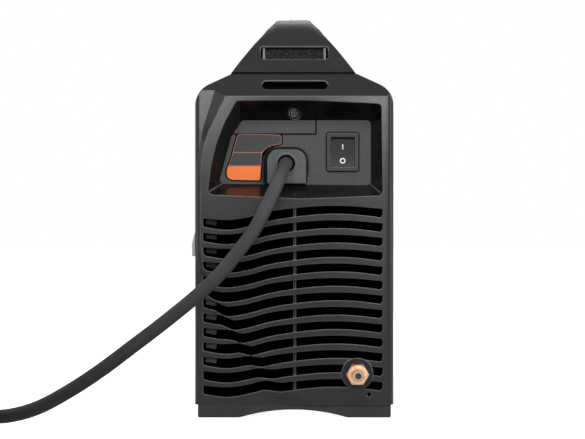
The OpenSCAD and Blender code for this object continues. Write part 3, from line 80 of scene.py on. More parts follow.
def add_piece(name, mesh, body):
    """A new piece that rides on a body."""
    piece = add(name, mesh)
    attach(piece, body)
    return piece


def as_mesh(made):
    """The plain mesh that an object with modifiers or a bevel shows. The object is removed."""
    shown = made.evaluated_get(bpy.context.evaluated_depsgraph_get())
    mesh = bpy.data.meshes.new_from_object(shown)
    bpy.data.objects.remove(made)
    return mesh


print("the drawing's origin lies at", tuple(ORIGIN))

# %% Places that several cells share, in millimetres: depths, and centres as (x, z)
REAR_FACE = -200.0
RECESS_FLOOR = -175.0
OVERLAY_FACE = 189.0
CABLE_HOLE = (-6.6, 204.8)
SWITCH = (39.4, 214.6)
RECESS_SCREW = (0.6, 245.9)
INLET = (50.6, 35.3)
KNOB = (36.0, 213.0)
TORCH = (38.0, 80.0)
WORK = (-38.0, 80.0)

# %% [markdown]
# ## The camera
# A product camera stands level and square to the rear end. A long lens from 1.6 m away keeps the
# upright edges parallel and lets the handle show only a little of its far side.

# %% Camera
CAMERA_AWAY = 1600.0
camera_data = bpy.data.cameras.new("camera")
camera_data.sensor_fit = "HORIZONTAL"
camera_data.sensor_width = 36.0
camera_data.lens = 122.5
camera_data.clip_end = 30.0
camera = add("camera", camera_data)
camera.location = at(-1.5, REAR_FACE - CAMERA_AWAY, 159.4)
camera.rotation_euler = (math.pi / 2, 0.0, 0.0)
scene.camera = camera
view_width = CAMERA_AWAY * MM * camera_data.sensor_width / camera_data.lens
print(f"the view is {view_width:.3f} m wide at the rear face")

# %% [markdown]
# ## The mains cable
# A three core rubber cable of 10.8 mm leaves its clamp, falls in one easy curve to the bench, and
# the rest of its 2.3 m is wound up beside the machine in two layers under a strap. A curve with a
# round bevel is the plain way to make it: the points are the route, and the bevel is the sheath.
# The curve is then turned into a mesh, as every other piece is one.

# %% The cable's route
CABLE_D = 10.8
LAYER_STEP = CABLE_D + 0.9
COIL_TURNS = 5
LOOP_POINTS = 48
SPAN_POINTS = 6
PLUG_LEAD = 32.0
COIL_R = 58.5
COIL_C = (-300.0, -330.0)
LAYER_LOW = 7.4
LAYER_HIGH = LAYER_LOW + LAYER_STEP
COIL_OUT = COIL_R + LAYER_STEP * COIL_TURNS / 4
COIL_TOP = COIL_C[1] + COIL_OUT
IN_CLAMP = [(CABLE_HOLE[0], y, CABLE_HOLE[1]) for y in (-173, -179, -184)]
FREE_STRETCH = IN_CLAMP + [
    (-7.6, -194.8, 203.4), (-9.1, -205.5, 199.4), (-11.6, -214.7, 193), (-15.1, -222.2, 184.7),
    (-22, -230.6, 169.9), (-31.2, -234.8, 151.9), (-43.6, -244.5, 134.9), (-57.4, -266.2, 117.5),
    (-76, -281, 100), (-98, -297.5, 82), (-121, -308.5, 64.5), (-145, -309.5, 46.5),
    (-170, -302, 30), (-196, -288, 16), (-221, -273, 8.6), (-244, -261.5, LAYER_LOW),
    (-266, COIL_TOP, LAYER_LOW), (COIL_C[0] + CABLE_D, COIL_TOP, LAYER_LOW),
]


def smooth_line(points, steps):
    """Points on the smooth line through the given ones, with steps to each span."""
    last = len(points) - 1
    line = []
    for i in range(last):
        a, b, c, d = (Vector(points[min(max(k, 0), last)]) for k in range(i - 1, i + 3))
        slope = c - a
        bend = 2 * a - 5 * b + 4 * c - d
        twist = 3 * b - a - 3 * c + d
        for s in range(steps):
            t = s / steps
            line.append(0.5 * (2 * b + slope * t + bend * t**2 + twist * t**3))
    return line + [Vector(points[last])]


def coil_point(turn):
    """The coil's middle line after a number of turns: inwards below, outwards above."""
    angle = math.radians(90 + 360 * turn)
    radius = COIL_OUT - LAYER_STEP * min(turn, COIL_TURNS - turn)
    u = min(max((turn - COIL_TURNS / 2) / 0.5 + 0.5, 0), 1)
    lift = 3 * u**2 - 2 * u**3
    return Vector((
        COIL_C[0] + radius * math.cos(angle),
        COIL_C[1] + radius * math.sin(angle),
        LAYER_LOW * (1 - lift) + LAYER_HIGH * lift,
    ))


route = smooth_line(FREE_STRETCH, SPAN_POINTS)
route += [coil_point(i / LOOP_POINTS) for i in range(LOOP_POINTS * COIL_TURNS + 1)]
route += [Vector((COIL_C[0] - PLUG_LEAD * s, COIL_TOP, LAYER_HIGH)) for s in (0.5, 1.0)]
cable_points = [at(*p) for p in route]
cable_length = sum((b - a).length for a, b in zip(cable_points, cable_points[1:]))
print(f"the cable is {cable_length:.3f} m long in {len(cable_points)} points")

# %% The cable's sheath
cable_curve = bpy.data.curves.new("mains_cord", "CURVE")
cable_curve.dimensions = "3D"
cable_curve.bevel_depth = CABLE_D / 2 * MM
cable_curve.bevel_resolution = 6
cable_curve.use_fill_caps = True
cable_spline = cable_curve.splines.new("POLY")
cable_spline.points.add(len(cable_points) - 1)
for spline_point, place in zip(cable_spline.points, cable_points):
    spline_point.co = (*place, 1.0)
cable_spline.use_smooth = True
cable_line = add("cable_line", cable_curve)
bpy.context.view_layer.update()
mains_cord = add_piece("mains_cord", as_mesh(cable_line), HOUSING)
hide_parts("mains_cable", "cable_coil")

# %% [markdown]
# ## A small kit for finishes
# Every finish below is a node tree. `Wire` wraps a socket, so that sums such as `1 - mask` write
# themselves as Math nodes, and `Net` adds any other node, with its settings first and its sockets
# next. A mask is a wire that is 1 where something applies and 0 elsewhere.

# %% Tones
def grey(value):
    """A neutral grey of that sRGB value, 0 to 255, as a linear colour with a faint cool tint."""
    linear = (value / 255) ** 2.2
    return (linear * 0.98, linear, linear * 1.03)


def srgb(red, green, blue):
    """An sRGB colour, 0 to 255, as a linear one."""
    return tuple((c / 255) ** 2.2 for c in (red, green, blue))


def tinted(tone, factor):
    """The same tone, lighter or darker."""
    return tuple(c * factor for c in tone)


# Light grey painted on edges, rims and creases as a highlight where light catches them.
HIGHLIGHT_GREY = grey(112)


# %% The wire and the net
class Wire:
    """A shader socket that numbers and other wires can be added to, multiplied by and so on."""

    def __init__(self, net, socket):
        self.net, self.socket = net, socket

    def op(self, operation, other=0.0):
        """Any Math operation with this wire first, such as ABSOLUTE, SINE, FRACT or MAXIMUM."""
        return self.net.node("Math", {"operation": operation}, {0: self, 1: other})

    def op_last(self, operation, other):
        """A Math operation with this wire last."""
        return self.net.node("Math", {"operation": operation}, {0: other, 1: self})

    __add__ = __radd__ = partialmethod(op, "ADD")
    __mul__ = __rmul__ = partialmethod(op, "MULTIPLY")
    __sub__, __rsub__ = partialmethod(op, "SUBTRACT"), partialmethod(op_last, "SUBTRACT")
    __truediv__, __rtruediv__ = partialmethod(op, "DIVIDE"), partialmethod(op_last, "DIVIDE")
    __gt__, __lt__ = partialmethod(op, "GREATER_THAN"), partialmethod(op, "LESS_THAN")

    def hypot(self, other):
        """The long side of a right triangle whose other sides are two wires."""
        return (self * self + other * other).op("SQRT")

    def step(self, low, high):
        """0 below low and 1 above high, with a smooth climb between them."""
        smooth = {"interpolation_type": "SMOOTHSTEP"}
        return self.net.node("MapRange", smooth, {0: self, 1: low, 2: high})

    def wave(self, period):
        """0 to 1 and back in a sine wave of that period."""
        return (self * (2 * math.pi / period)).op("SINE") * 0.5 + 0.5


class Net:
    """The node tree of a finish or a world. place is where a point lies, as x, y and z."""

    def __init__(self, name, owners="materials"):
        self.owner = getattr(bpy.data, owners).new(name)
        self.owner.use_nodes = True
        self.tree = self.owner.node_tree
        self.tree.nodes.clear()
        self.place = self.node("TexCoord", out="Object")
        split = self.node("SeparateXYZ", inputs={0: self.place})
        self.x, self.y, self.z = (Wire(self, out) for out in split.socket.node.outputs)

    def node(self, kind, settings=None, inputs=None, out=0, family="ShaderNode"):
        """Adds a node, sets it, wires it and gives one of its outputs."""
        made = self.tree.nodes.new(family + kind)
        for key, value in (settings or {}).items():
            setattr(made, key, value)
        for key, value in (inputs or {}).items():
            self.plug(made.inputs[key], value)
        return Wire(self, made.outputs[out])

    def plug(self, socket, value):
        """Gives a socket a wire, a colour or a number."""
        if isinstance(value, Wire):
            self.tree.links.new(value.socket, socket)
        elif isinstance(value, (tuple, list)) and socket.type == "RGBA":
            socket.default_value = (*value, 1.0)[:4]
        else:
            socket.default_value = value

    def off(self, centre):
        """How far a point lies across and up from a centre (x, z) in millimetres."""
        middle = at(centre[0], 0, centre[1])
        return self.x - middle.x, self.z - middle.z

    def radius(self, centre):
        """How far a point lies from an axis along Y through a centre (x, z) in millimetres."""
        across, up = self.off(centre)
        return across.hypot(up)

    def noise(self, scale, detail=2.0, stretch=(1, 1, 1), roughness=0.5):
        """Soft noise with grains 1 / scale metres apart, drawn out along an axis by stretch."""
        where = self.place
        if stretch != (1, 1, 1):
            where = self.node("Mapping", inputs={"Vector": where, "Scale": stretch})
        wires = {"Vector": where, "Scale": scale, "Detail": detail, "Roughness": roughness}
        return self.node("TexNoise", inputs=wires)

    def grain(self, size, roughness=0.6):
        """Fine noise with its grains a size in millimetres apart."""
        return self.noise(1 / (size * MM), detail=3.0, roughness=roughness)

    def broad(self):
        """Patches a few centimetres across, where a moulding's tone drifts."""
        return self.noise(45.0, detail=3.0).step(0.3, 0.7)

    def mix(self, mask, low, high):
        """low where the mask is 0 and high where it is 1, as a colour."""
        made = self.tree.nodes.new("ShaderNodeMix")
        made.data_type = "RGBA"
        colours = [s for s in made.inputs if s.type == "RGBA"]
        self.plug(made.inputs[0], mask)
        self.plug(colours[0], low)
        self.plug(colours[1], high)
        return Wire(self, next(s for s in made.outputs if s.type == "RGBA"))

    def drift(self, mask, tone, share):
        """A tone that a mask turns from darker to lighter by the same share."""
        return self.mix(mask, tinted(tone, 1 - share), tinted(tone, 1 + share))

    def bump(self, height, depth, edge=None):
        """A bump over a height of 0 to 1, on rounded edges. depth and edge are in millimetres."""
        inputs = {"Strength": 1.0, "Distance": depth * MM, "Height": height}
        if edge:
            inputs["Normal"] = self.round_edge(edge)
        return self.node("Bump", inputs=inputs)

    def round_edge(self, radius):
        """The normal of a surface with its edges rounded by a radius in millimetres."""
        return self.node("Bevel", {"samples": 4}, {"Radius": radius * MM})

    def edges(self, width):
        """1 within a width in millimetres of an edge, stronger where the edge looks up to the
        light above; it marks painted highlights.
        """
        rounded = self.round_edge(width)
        true = self.node("NewGeometry", out="True Normal")
        dot = {"operation": "DOT_PRODUCT"}
        turn = self.node("VectorMath", dot, {0: rounded, 1: true}, out="Value")
        up = self.node("SeparateXYZ", inputs={0: rounded}, out=2)
        return (1.0 - turn).step(0.01, 0.09) * (up.step(-0.5, 0.5) * 0.75 + 0.25)

    def end(self, shader, output="Material"):
        """Wires a shader to the output and gives the finished material or world."""
        end = self.tree.nodes.new("ShaderNodeOutput" + output)
        self.tree.links.new(shader.socket, end.inputs["Surface"])
        return self.owner

    def surface(self, colour, roughness, normal, gloss=0.5, **more):
        """Ends the tree in a Principled shader, with _ for spaces in the names of more sockets."""
        sockets = {"Base Color": colour, "Roughness": roughness, "Normal": normal}
        sockets["Specular IOR Level"] = gloss
        sockets |= {key.replace("_", " "): value for key, value in more.items()}
        return self.end(self.node("BsdfPrincipled", inputs=sockets))


def paint(finish, *nodes):
    """Gives a finish to CAD nodes."""
    for name in nodes:
        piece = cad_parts[name]
        piece.data.materials.clear()
        piece.data.materials.append(finish)
    print(f"{finish.name}: {', '.join(nodes)}")


# %% Masks
def between(value, low, high):
    """1 where a value in metres lies between two given in millimetres."""
    return (value > low * MM) * (value < high * MM)


def any_of(first, *masks):
    """1 where any of the masks is."""
    for mask in masks:
        first = first.op("MAXIMUM", mask)
    return first


def box_distance(net, centre, size, radius):
    """How far a point lies outside a rectangle in X and Z with round corners. The rectangle's
    sizes are in millimetres."""
    across, up = (
        away.op("ABSOLUTE") - (side / 2 - radius) * MM for away, side in zip(net.off(centre), size)
    )
    inside = across.op("MAXIMUM", up).op("MINIMUM")
    return across.op("MAXIMUM").hypot(up.op("MAXIMUM")) + inside - radius * MM


def crease(net, start, stop, width=0.45):
    """1 on a straight line in X and Z between two points, with all sizes in millimetres."""
    a, b = at(start[0], 0, start[1]), at(stop[0], 0, stop[1])
    run = (b - a).normalized()
    away = ((net.x - a.x) * run.z - (net.z - a.z) * run.x).op("ABSOLUTE")
    return (away < width * MM) * between(net.z, *sorted((start[1], stop[1])))


# %% [markdown]
# ## Moulded plastic
# The end caps, the handle and the feet are injection-moulded plastic with a fine spark-eroded
# grain. Real mouldings are never one flat grey: the tone drifts a little over a hand's width, the
# grain breaks up the shine, and every edge has a small radius that catches the light.

# %% Moulded plastic
def moulded(name, tone, roughness, grain=0.45, depth=0.03, edge=0.35, gloss=0.5, highlight_share=0.0):
    """Grained plastic. The grain's size, its depth and the edge radius are in millimetres, and the
    last argument is how strongly a painted highlight lightens the edges."""
    net = Net(name)
    fine = net.grain(grain)
    shine = net.noise(160.0)
    colour = net.drift(net.broad(), tone, 0.12)
    # painted highlight on the edges, where light from above catches them
    if highlight_share:
        colour = net.mix(net.edges(1.3) * highlight_share, colour, HIGHLIGHT_GREY)
    return net.surface(
        colour,
        shine * 0.12 + fine * 0.1 + (roughness - 0.11),
        net.bump(fine, depth, edge),
        gloss=gloss,
    )


def clamp_plastic():
    """Grained plastic. Painted shade makes it black in the cable's hole and in the joint on the
    left, away from light, and dark grey on its other deep faces; its edges get painted highlights.
    """
    net = Net("clamp_plastic")
    fine = net.grain(0.45)
    deep = net.y.step(at_y(-177.5), at_y(-175.5))
    # painted shade on deep faces is only dark grey here, away from the hole and the left joint
    less_shade = net.x.step(at_x(-20), at_x(-18)) * (net.radius(CABLE_HOLE) > 10 * MM)
    # painted highlight on the edges
    tone = net.mix(net.edges(1.3) * 0.7, net.drift(net.broad(), grey(85), 0.12), HIGHLIGHT_GREY)
    return net.surface(
        net.mix(deep, tone, net.mix(less_shade, grey(2), grey(44))),
        fine * 0.12 + deep * 0.2 + 0.42,
        net.bump(fine, 0.03, 0.35), gloss=0.1,
    )


# %% The handle
ROOF_RUN = math.tan(math.radians(35.0))
HANDLE_FOOT = 277.4
HANDLE_FOOT_DEPTH = 186.84
STRAP_WINDOW = ((0.0, 295.3), (55.0, 10.6), 2.0)


def handle_plastic():
    """The handle bends in one wide radius at its top, and a groove runs round its feet. Painted
    shade makes the groove and the inside of the strap window black, and painted highlights
    lighten its edges and the window's rim.
    """
    net = Net("handle_plastic")
    z = net.z
    fine = net.grain(0.6)
    bend_radius = z.step(307 * MM, 314 * MM) * 9 + 0.7
    # painted highlight on the legs' edges
    edge = net.edges(1.2) * between(z, 282, 307)
    leg_face = HANDLE_FOOT_DEPTH * MM - (net.y - ORIGIN.y).op("ABSOLUTE")
    behind = leg_face - (z - HANDLE_FOOT * MM) * ROOF_RUN
    from_window = box_distance(net, *STRAP_WINDOW)
    # painted highlight on the strap window's upper rim
    rim_highlight = between(from_window, -0.3, 0.9) * (z > 297 * MM) * (behind < 0.6 * MM)
    # painted shade inside the strap window
    inside = between(behind, 0.8, 11.2) * (from_window < 4 * MM)
    # black painted shade in the foot groove and in the strap window
    black = any_of(z < 279.2 * MM, inside)
    tone = net.drift(net.broad(), grey(34), 0.08)
    tone = net.mix(any_of(edge * 0.4, rim_highlight * 0.5), tone, HIGHLIGHT_GREY)
    return net.surface(
        net.mix(black, tone, grey(2)),
        net.noise(160.0) * 0.1 + fine * 0.08 + 0.25 + black * 0.5,
        net.bump(fine, 0.01, bend_radius), gloss=0.2,
    )


# Painted highlights lighten the front cap's edges.
case_plastic = moulded(
    "case_plastic", grey(36), 0.25, grain=0.5, depth=0.005, edge=0.8, gloss=0.2, highlight_share=0.6
)
filter_foam = moulded("filter_foam", grey(9), 0.95, grain=1.2, depth=0.5, edge=0.3, gloss=0.0)
plain_black = moulded("plain_black", grey(38), 0.45)
paint(case_plastic, "front_bezel")
paint(handle_plastic(), "handle")
paint(moulded("foot_plastic", grey(40), 0.45, edge=0.5, gloss=0.2), "rear_foot", "front_foot")
paint(clamp_plastic(), "cable_clamp")
paint(filter_foam, "intake_filter")
paint(plain_black, "torch_socket", "work_socket", "fan_frame", "fan_rotor", "air_regulator")

# %% [markdown]
# ## The rear cap
# The rear cap is one satin moulding with a black ring round the air inlet, and painted shade makes
# the walls of the recess and the slots much darker. Where a point lies tells which tone it has, so
# one finish holds them all, with masks for the places.

# %% The rear cap's places, in millimetres
FACET_LEAN = 0.27
FACET_FOOT = (-57.0, 251.0)
FACET_EDGE = -74.3
OUTER_STRIP = -76.6
STICKER_SIDE = -44.0
GRILLE_TOP = 176.0
RECESS_FLOOR_WALL = 191.0
RECESS_TOP = 256.0
ROOF_FOOT = 258.6
ROOF_TOP = 276.8
ROOF_SLOT = ((0.4, 267.6), (52.8, 7.0), 3.4)
RIB_X = 0.3


def rear_cap_plastic():
    """Satin plastic with painted shade in the recess, the slots, the screw seat, the roof slot and
    the joint under the handle, and painted highlights on edges, rims and creases.
    """
    net = Net("rear_cap_plastic")
    x, y, z = net.x, net.y, net.z
    face = at_y(REAR_FACE)
    fine = net.grain(0.5)
    edge_line = (z - FACET_FOOT[1] * MM) * FACET_LEAN + FACET_FOOT[0] * MM
    right_of_facet = x > edge_line.op("MAXIMUM", FACET_EDGE * MM) + ORIGIN.x
    sunk = y.step(face + 0.7 * MM, face + 1.5 * MM) * right_of_facet
    recess = sunk * between(z, GRILLE_TOP, RECESS_TOP)
    floor_wall = recess * (z < RECESS_FLOOR_WALL * MM)
    grille = y.step(face + 3.7 * MM, face + 4.3 * MM) * (z < GRILLE_TOP * MM)
    ring = (net.radius(INLET) < 12.3 * MM) * (y < face - 0.3 * MM)
    # painted shade darkens the recess and the slots; the inlet ring is black of its own
    dark = (recess + grille * 0.75 + ring * 0.8).op("MINIMUM", 1.0)

    under_roof = y - face - (z - ROOF_FOOT * MM) * ROOF_RUN
    from_slot = box_distance(net, *ROOF_SLOT)
    # the roof slot's inside gets black painted shade, its upper rim a painted highlight
    slot = (under_roof > 0.9 * MM) * (from_slot < 1.5 * MM)
    rim_highlight = between(from_slot, -0.3, 0.9) * (z > 268.4 * MM) * (under_roof < 0.6 * MM)

    across, up = net.off(RECESS_SCREW)
    from_screw = net.radius(RECESS_SCREW)
    # the screw seat gets black painted shade, and a painted highlight on the left and lower part
    # of a ring inside it
    seat = (from_screw < 6.5 * MM) * (y > face + 6 * MM)
    seat_highlight = between(from_screw, 4.5, 5.1) * seat * (0.3 - (across + up) * 60.0)

    # painted highlight lines down the recess's lower corners
    left_crease = crease(net, (-70.6, 180.6), (-58.4, 188.8))
    creases = any_of(left_crease, crease(net, (69.4, 180.8), (61.4, 188.8)))
    rib_end = between(x - at_x(RIB_X), -2, 2) * between(z, 178, 186)
    # how strongly edges get a painted highlight: weaker in the recess and at the rib's end
    edge_highlight_weight = (1.0 - recess * 0.6) * (1.0 - recess * rib_end) * (z < 262 * MM)
    # painted highlights on edges, on the roof slot's rim and on the recess's creases
    painted_highlight = any_of(net.edges(1.3) * edge_highlight_weight * 0.9, rim_highlight * 0.6, creases * recess * 0.45)
    # black painted shade in the screw seat, the roof slot and the joint under the handle
    black = any_of(seat, slot, z > ROOF_TOP * MM)
    dull_wall = recess * (x < at_x(STICKER_SIDE)) * (z > 193 * MM)
    dull = dull_wall + (x < at_x(OUTER_STRIP)) * 0.9

    tone = net.drift(net.broad(), grey(36), 0.1)
    # painted shade: near black in the recess and the slots, dark grey on the recess's lower wall
    tone = net.mix(dark, tone, net.mix(floor_wall, grey(10), grey(27)))
    tone = net.mix(black, net.mix(painted_highlight, tone, HIGHLIGHT_GREY), grey(2))
    shine = net.noise(160.0) * 0.08 + fine * 0.05 + 0.155
    return net.surface(
        net.mix(seat_highlight.step(0.0, 0.5), tone, grey(120)),
        shine + dull * 0.5 + black * 0.6,
        net.bump(fine, 0.005, 0.8), gloss=0.2,
    )


paint(rear_cap_plastic(), "rear_bezel")

# %% [markdown]
# ## The switch, the knob and the buttons
# These are nylon mouldings with a finer grain. Painted shade makes the switch frame black down in
# its well, and the rocker black where its upper end meets the frame.

# %% Small mouldings
SWITCH_WELL = (SWITCH, (21.0, 27.0), 1.0)


def switch_plastic():
    """Nylon, with painted shade in the well round the rocker and painted highlights on its edges.
    """
    net = Net("switch_grey")
    fine = net.grain(0.3, roughness=0.5)
    # painted shade in the well
    well = (box_distance(net, *SWITCH_WELL) < 0.0) * (net.y > at_y(-177.2))
    # painted highlight on the frame's edges
    tone = net.mix(net.edges(1.3) * 0.75, net.drift(fine, grey(61), 0.12), HIGHLIGHT_GREY)
    return net.surface(
        net.mix(well, tone, grey(2)),
        fine * 0.14 + well * 0.3 + 0.34,
        net.bump(fine, 0.01, 0.3), gloss=0.08,
    )


def rocker_plastic():
    """Polished nylon, with a painted shadow along the end that meets the frame's edge."""
    net = Net("gloss_black")
    fine = net.grain(0.8)
    # painted shadow along the rocker's upper end
    end = net.z.step(224.9 * MM, 225.5 * MM)
    return net.surface(
        net.mix(end, net.drift(fine, grey(42), 0.12), grey(1)),
        fine * 0.16 + end * 0.6 + 0.19,
        net.bump(fine, 0.004, 0.4), gloss=0.22,
    )


button = {"grain": 0.3, "depth": 0.01, "edge": 0.5}
paint(switch_plastic(), "switch_housing")
paint(moulded("button_grey", grey(105), 0.4, **button), "air_test_button")
paint(moulded("button_orange", srgb(226, 112, 40), 0.38, **button), "mode_button")
paint(moulded("pale_plastic", grey(186), 0.45, grain=0.4, depth=0.02), "side_hook")
paint(rocker_plastic(), "switch_rocker")
paint(moulded("knob_plastic", grey(42), 0.42, grain=0.35, depth=0.02, edge=0.4), "current_knob")
paint(moulded("tie_plastic", grey(34), 0.6, grain=0.5, depth=0.06), "coil_tie")

# %% [markdown]
# ## Painted and plated sheet
# The cover and the panels are folded steel. Powder coat dries with a faint orange peel, and bright
# zinc shows cloudy flowers and fine scratches along the rolling direction.

# %% Powder coat and zinc
def powder_coat(name, tone, roughness):
    """Painted steel with orange peel a millimetre or so across."""
    net = Net(name)
    skin = net.noise(1 / (1.4 * MM), detail=1.0)
    fine = net.noise(4200.0)
    return net.surface(
        net.drift(net.noise(18.0), tone, 0.1),
        fine * 0.1 + (roughness - 0.05),
        net.bump(skin * 0.8 + fine * 0.2, 0.05, 0.4),
    )


def zinc_plate(name, tone, roughness=0.34, stretch=(1, 0.06, 1)):
    """Plated steel: clouds of a hand's width and scratches drawn out along the sheet."""
    net = Net(name)
    clouds = net.noise(60.0, detail=4.0, roughness=0.6)
    lines = net.noise(2600.0, stretch=stretch)
    return net.surface(
        net.mix(clouds.step(0.3, 0.7), tinted(tone, 0.82), tone),
        clouds * 0.16 + lines * 0.12 + (roughness - 0.14),
        net.bump(lines, 0.004, 0.2),
        Metallic=1.0,
    )


# %% The recess panel and its screw
CLAMP_OUTLINE = ((-6.25, 200.0), (31.3, 32.4), 9.0)
SWITCH_OUTLINE = (SWITCH, (25.4, 30.8), 1.6)
SEAM_TOP = 229.1
SEAM_SIDE = 17.7


def recess_panel_paint():
    """Textured powder coat, with painted shade along the clamp, the switch and a seam."""
    net = Net("recess_panel_paint")
    tone = grey(79)
    grain = net.grain(0.9, roughness=0.7)
    colour = net.drift(net.noise(25.0), tone, 0.12)
    colour = net.mix(grain.step(0.35, 0.75), tinted(tone, 0.72), colour)
    x, z = net.x, net.z
    # the painted shade is wider to the left of the clamp
    left_gap = (x < at_x(-16)) * 0.75
    clamp = box_distance(net, *CLAMP_OUTLINE) * (1.0 - left_gap)
    near = clamp.op("MINIMUM", box_distance(net, *SWITCH_OUTLINE))
    level = (z - SEAM_TOP * MM).op("ABSOLUTE") + (x > at_x(SEAM_SIDE + 0.1))
    upright = (x - at_x(SEAM_SIDE)).op("ABSOLUTE") + (z < (SEAM_TOP - 0.1) * MM)
    near = near.op("MINIMUM", level.op("MINIMUM", upright) * 1.6)
    # painted shade in thin lines round the clamp, the switch and the seam
    painted_shadow = 1.0 - near.step(0.5 * MM, 1.6 * MM)
    return net.surface(
        net.mix(painted_shadow * 0.95, colour, grey(3)),
        grain * 0.12 + painted_shadow * 0.3 + 0.42,
        net.bump(grain, 0.05, 0.5), gloss=0.08,
    )


def blackened_screw(centre):
    """Black oxide, with painted highlights on a ring of the head, strongest on its left, and along
    the cross.
    """
    net = Net("black_oxide")
    across, up = net.off(centre)
    radius = net.radius(centre)
    cross = across.op("ABSOLUTE").op("MINIMUM", up.op("ABSOLUTE"))
    arm = between(cross, 0.35, 0.8) * (radius < 2.3 * MM) * 0.6
    # the painted highlight is strongest on the head's left
    lit_side = (0.35 - across * 90.0).op("MAXIMUM", 0.1).op("MINIMUM", 1.0)
    stain = net.noise(500.0, detail=3.0)
    # painted highlight on a ring of the head and along the cross
    bright = any_of(between(radius, 2.7, 3.3) * lit_side, arm) * (stain * 0.5 + 0.6)
    return net.surface(
        net.mix(bright, grey(10), grey(150)),
        stain * 0.2 + 0.5,
        net.bump(stain, 0.01, 0.2), gloss=0.1, Metallic=0.3,
    )


zinc = zinc_plate("zinc", (0.55, 0.56, 0.58))
dark_zinc = zinc_plate("dark_zinc", (0.16, 0.16, 0.17), 0.38, (1, 1, 1))
paint(powder_coat("cover_paint", grey(64), 0.48), "cover")
paint(recess_panel_paint(), "rear_panel")
paint(zinc, "front_panel", "base_pan", "board_rails", "knob_shaft")
paint(zinc, "torch_socket_nut", "work_socket_nut")
paint(blackened_screw(RECESS_SCREW), "bezel_screws")
paint(dark_zinc, "cover_screws", "handle_screws", "fan_screws")

# %% [markdown]
# ## Turned metal
# The air inlet is turned from brass bar, so its lathe marks run round the inlet's own axis. The
# mask for them is the distance from that axis, worked out from where the point lies.

# %% Turned metal
def turned(name, tone, centre, roughness):
    """Lathe-turned metal with rings about an axis along Y through a centre (x, z) in mm."""
    net = Net(name)
    rings = (net.radius(centre) + net.y).wave(0.35 * MM)
    stain = net.noise(260.0, detail=4.0)
    return net.surface(
        net.mix(stain.step(0.35, 0.75), tone, tinted(tone, 0.72)),
        stain * 0.2 + (roughness - 0.08),
        net.bump(rings, 0.006, 0.25),
        Metallic=1.0,
    )


BRASS = (0.80, 0.60, 0.30)
paint(turned("inlet_brass", (0.62, 0.36, 0.22), INLET, 0.3), "air_inlet_nut")
paint(turned("inlet_steel", (0.30, 0.21, 0.15), INLET, 0.34), "air_inlet_spigot")
paint(turned("torch_brass", BRASS, TORCH, 0.28), "torch_pins")
paint(turned("work_brass", BRASS, WORK, 0.28), "work_insert")

# %% [markdown]
# ## Rubber and webbing
# The sheath is matt chloroprene rubber with a dusty bloom, a faint nap and the very shallow lay of
# the three cores twisted inside it. The mesh's UV map runs along the cable, so the lay follows it.

# %% Rubber
LAY_LENGTH = 0.075


def rubber(name, tone, roughness=0.68, lay=0.0):
    """Matt rubber. A cable has lay twists of its cores, and painted shade darkens it towards its
    lower end.
    """
    net = Net(name)
    nap = net.noise(1500.0, detail=4.0, roughness=0.65)
    bloom = net.noise(70.0, detail=4.0).step(0.35, 0.75)
    # a plug gets a fixed mix of its darker and lighter tones
    height, depth, lighter_share = nap, 0.05, 0.4
    if lay:
        uv = net.node("SeparateXYZ", inputs={0: net.node("TexCoord", out="UV")})
        along, round_it = (Wire(net, o) for o in uv.socket.node.outputs[:2])
        height = nap * 0.35 + (along * lay + round_it * 3.0).wave(1.0) * 0.65
        # painted shade: the cable darkens towards the bench
        depth, lighter_share = 0.12, net.z.step(60 * MM, 205 * MM)
    return net.surface(
        net.mix(lighter_share, tinted(tone, 0.38), net.mix(bloom, tone, tinted(tone, 1.35))),
        bloom * 0.1 + nap * 0.08 + (roughness - 0.08),
        net.bump(height, depth), gloss=0.12, IOR=1.52,
    )


mains_cord.data.materials.append(rubber("cable_rubber", grey(63), lay=cable_length / LAY_LENGTH))
paint(rubber("plug_rubber", grey(40), 0.55), "mains_plug")
paint(zinc_plate("pin_nickel", (0.66, 0.65, 0.60), 0.25, (1, 1, 1)), "plug_pins")


# %% Webbing
def strap_webbing():
    """Dark webbing with upright threads between two smooth ribs."""
    net = Net("strap_webbing")
    threads = net.noise(900.0, detail=3.0, stretch=(1, 1, 0.16), roughness=0.7)
    rib = (net.x - ORIGIN.x).op("ABSOLUTE") > 24.0 * MM
    cloth = net.mix(threads.step(0.35, 0.7), grey(12), grey(52))
    return net.surface(
        net.mix(rib, cloth, grey(118)),
        threads * 0.2 + 0.6,
        net.bump(threads, 0.15, 0.3), gloss=0.1,
    )


paint(strap_webbing(), "strap_pads")

# %% [markdown]
# ## The control side
# A polycarbonate overlay covers the control recess. Its printed zones are plain bars and dots, and
# the display and the lamps are tinted acrylic. The lamps give off a faint painted glow in place of
# the light that the acrylic lets through.

# %% Overlay, display and lamps
def clear_tint(name, tone, roughness=0.08, glow=0.0):
    """Tinted acrylic that looks deep without costing a refraction. The last argument is a painted
    glow in place of light that the acrylic lets through.
    """
    net = Net(name)
    haze = net.noise(900.0)
    return net.surface(
        net.mix(haze, tone, tinted(tone, 1.25)),
        haze * 0.05 + roughness,
        net.round_edge(0.3),
        Coat_Weight=1.0,
        Coat_Roughness=0.04,
        Emission_Color=tone,
        Emission_Strength=glow,
    )


overlay_film = moulded("overlay_film", grey(36), 0.34, grain=0.25, depth=0.012, edge=0.1)
paint(overlay_film, "control_overlay")
paint(clear_tint("display_red", (0.045, 0.004, 0.005)), "display_window")
# a faint painted glow on the lamp lenses
paint(clear_tint("lamp_green", (0.10, 0.46, 0.16), 0.15, 0.15), "indicator_lenses")

# %% [markdown]
# ## Inside
# What shows through the louvres and the grille gets its own finish too: solder mask over copper
# tracks, shrink sleeve with an aluminium end, enamelled wire and sintered ferrite.

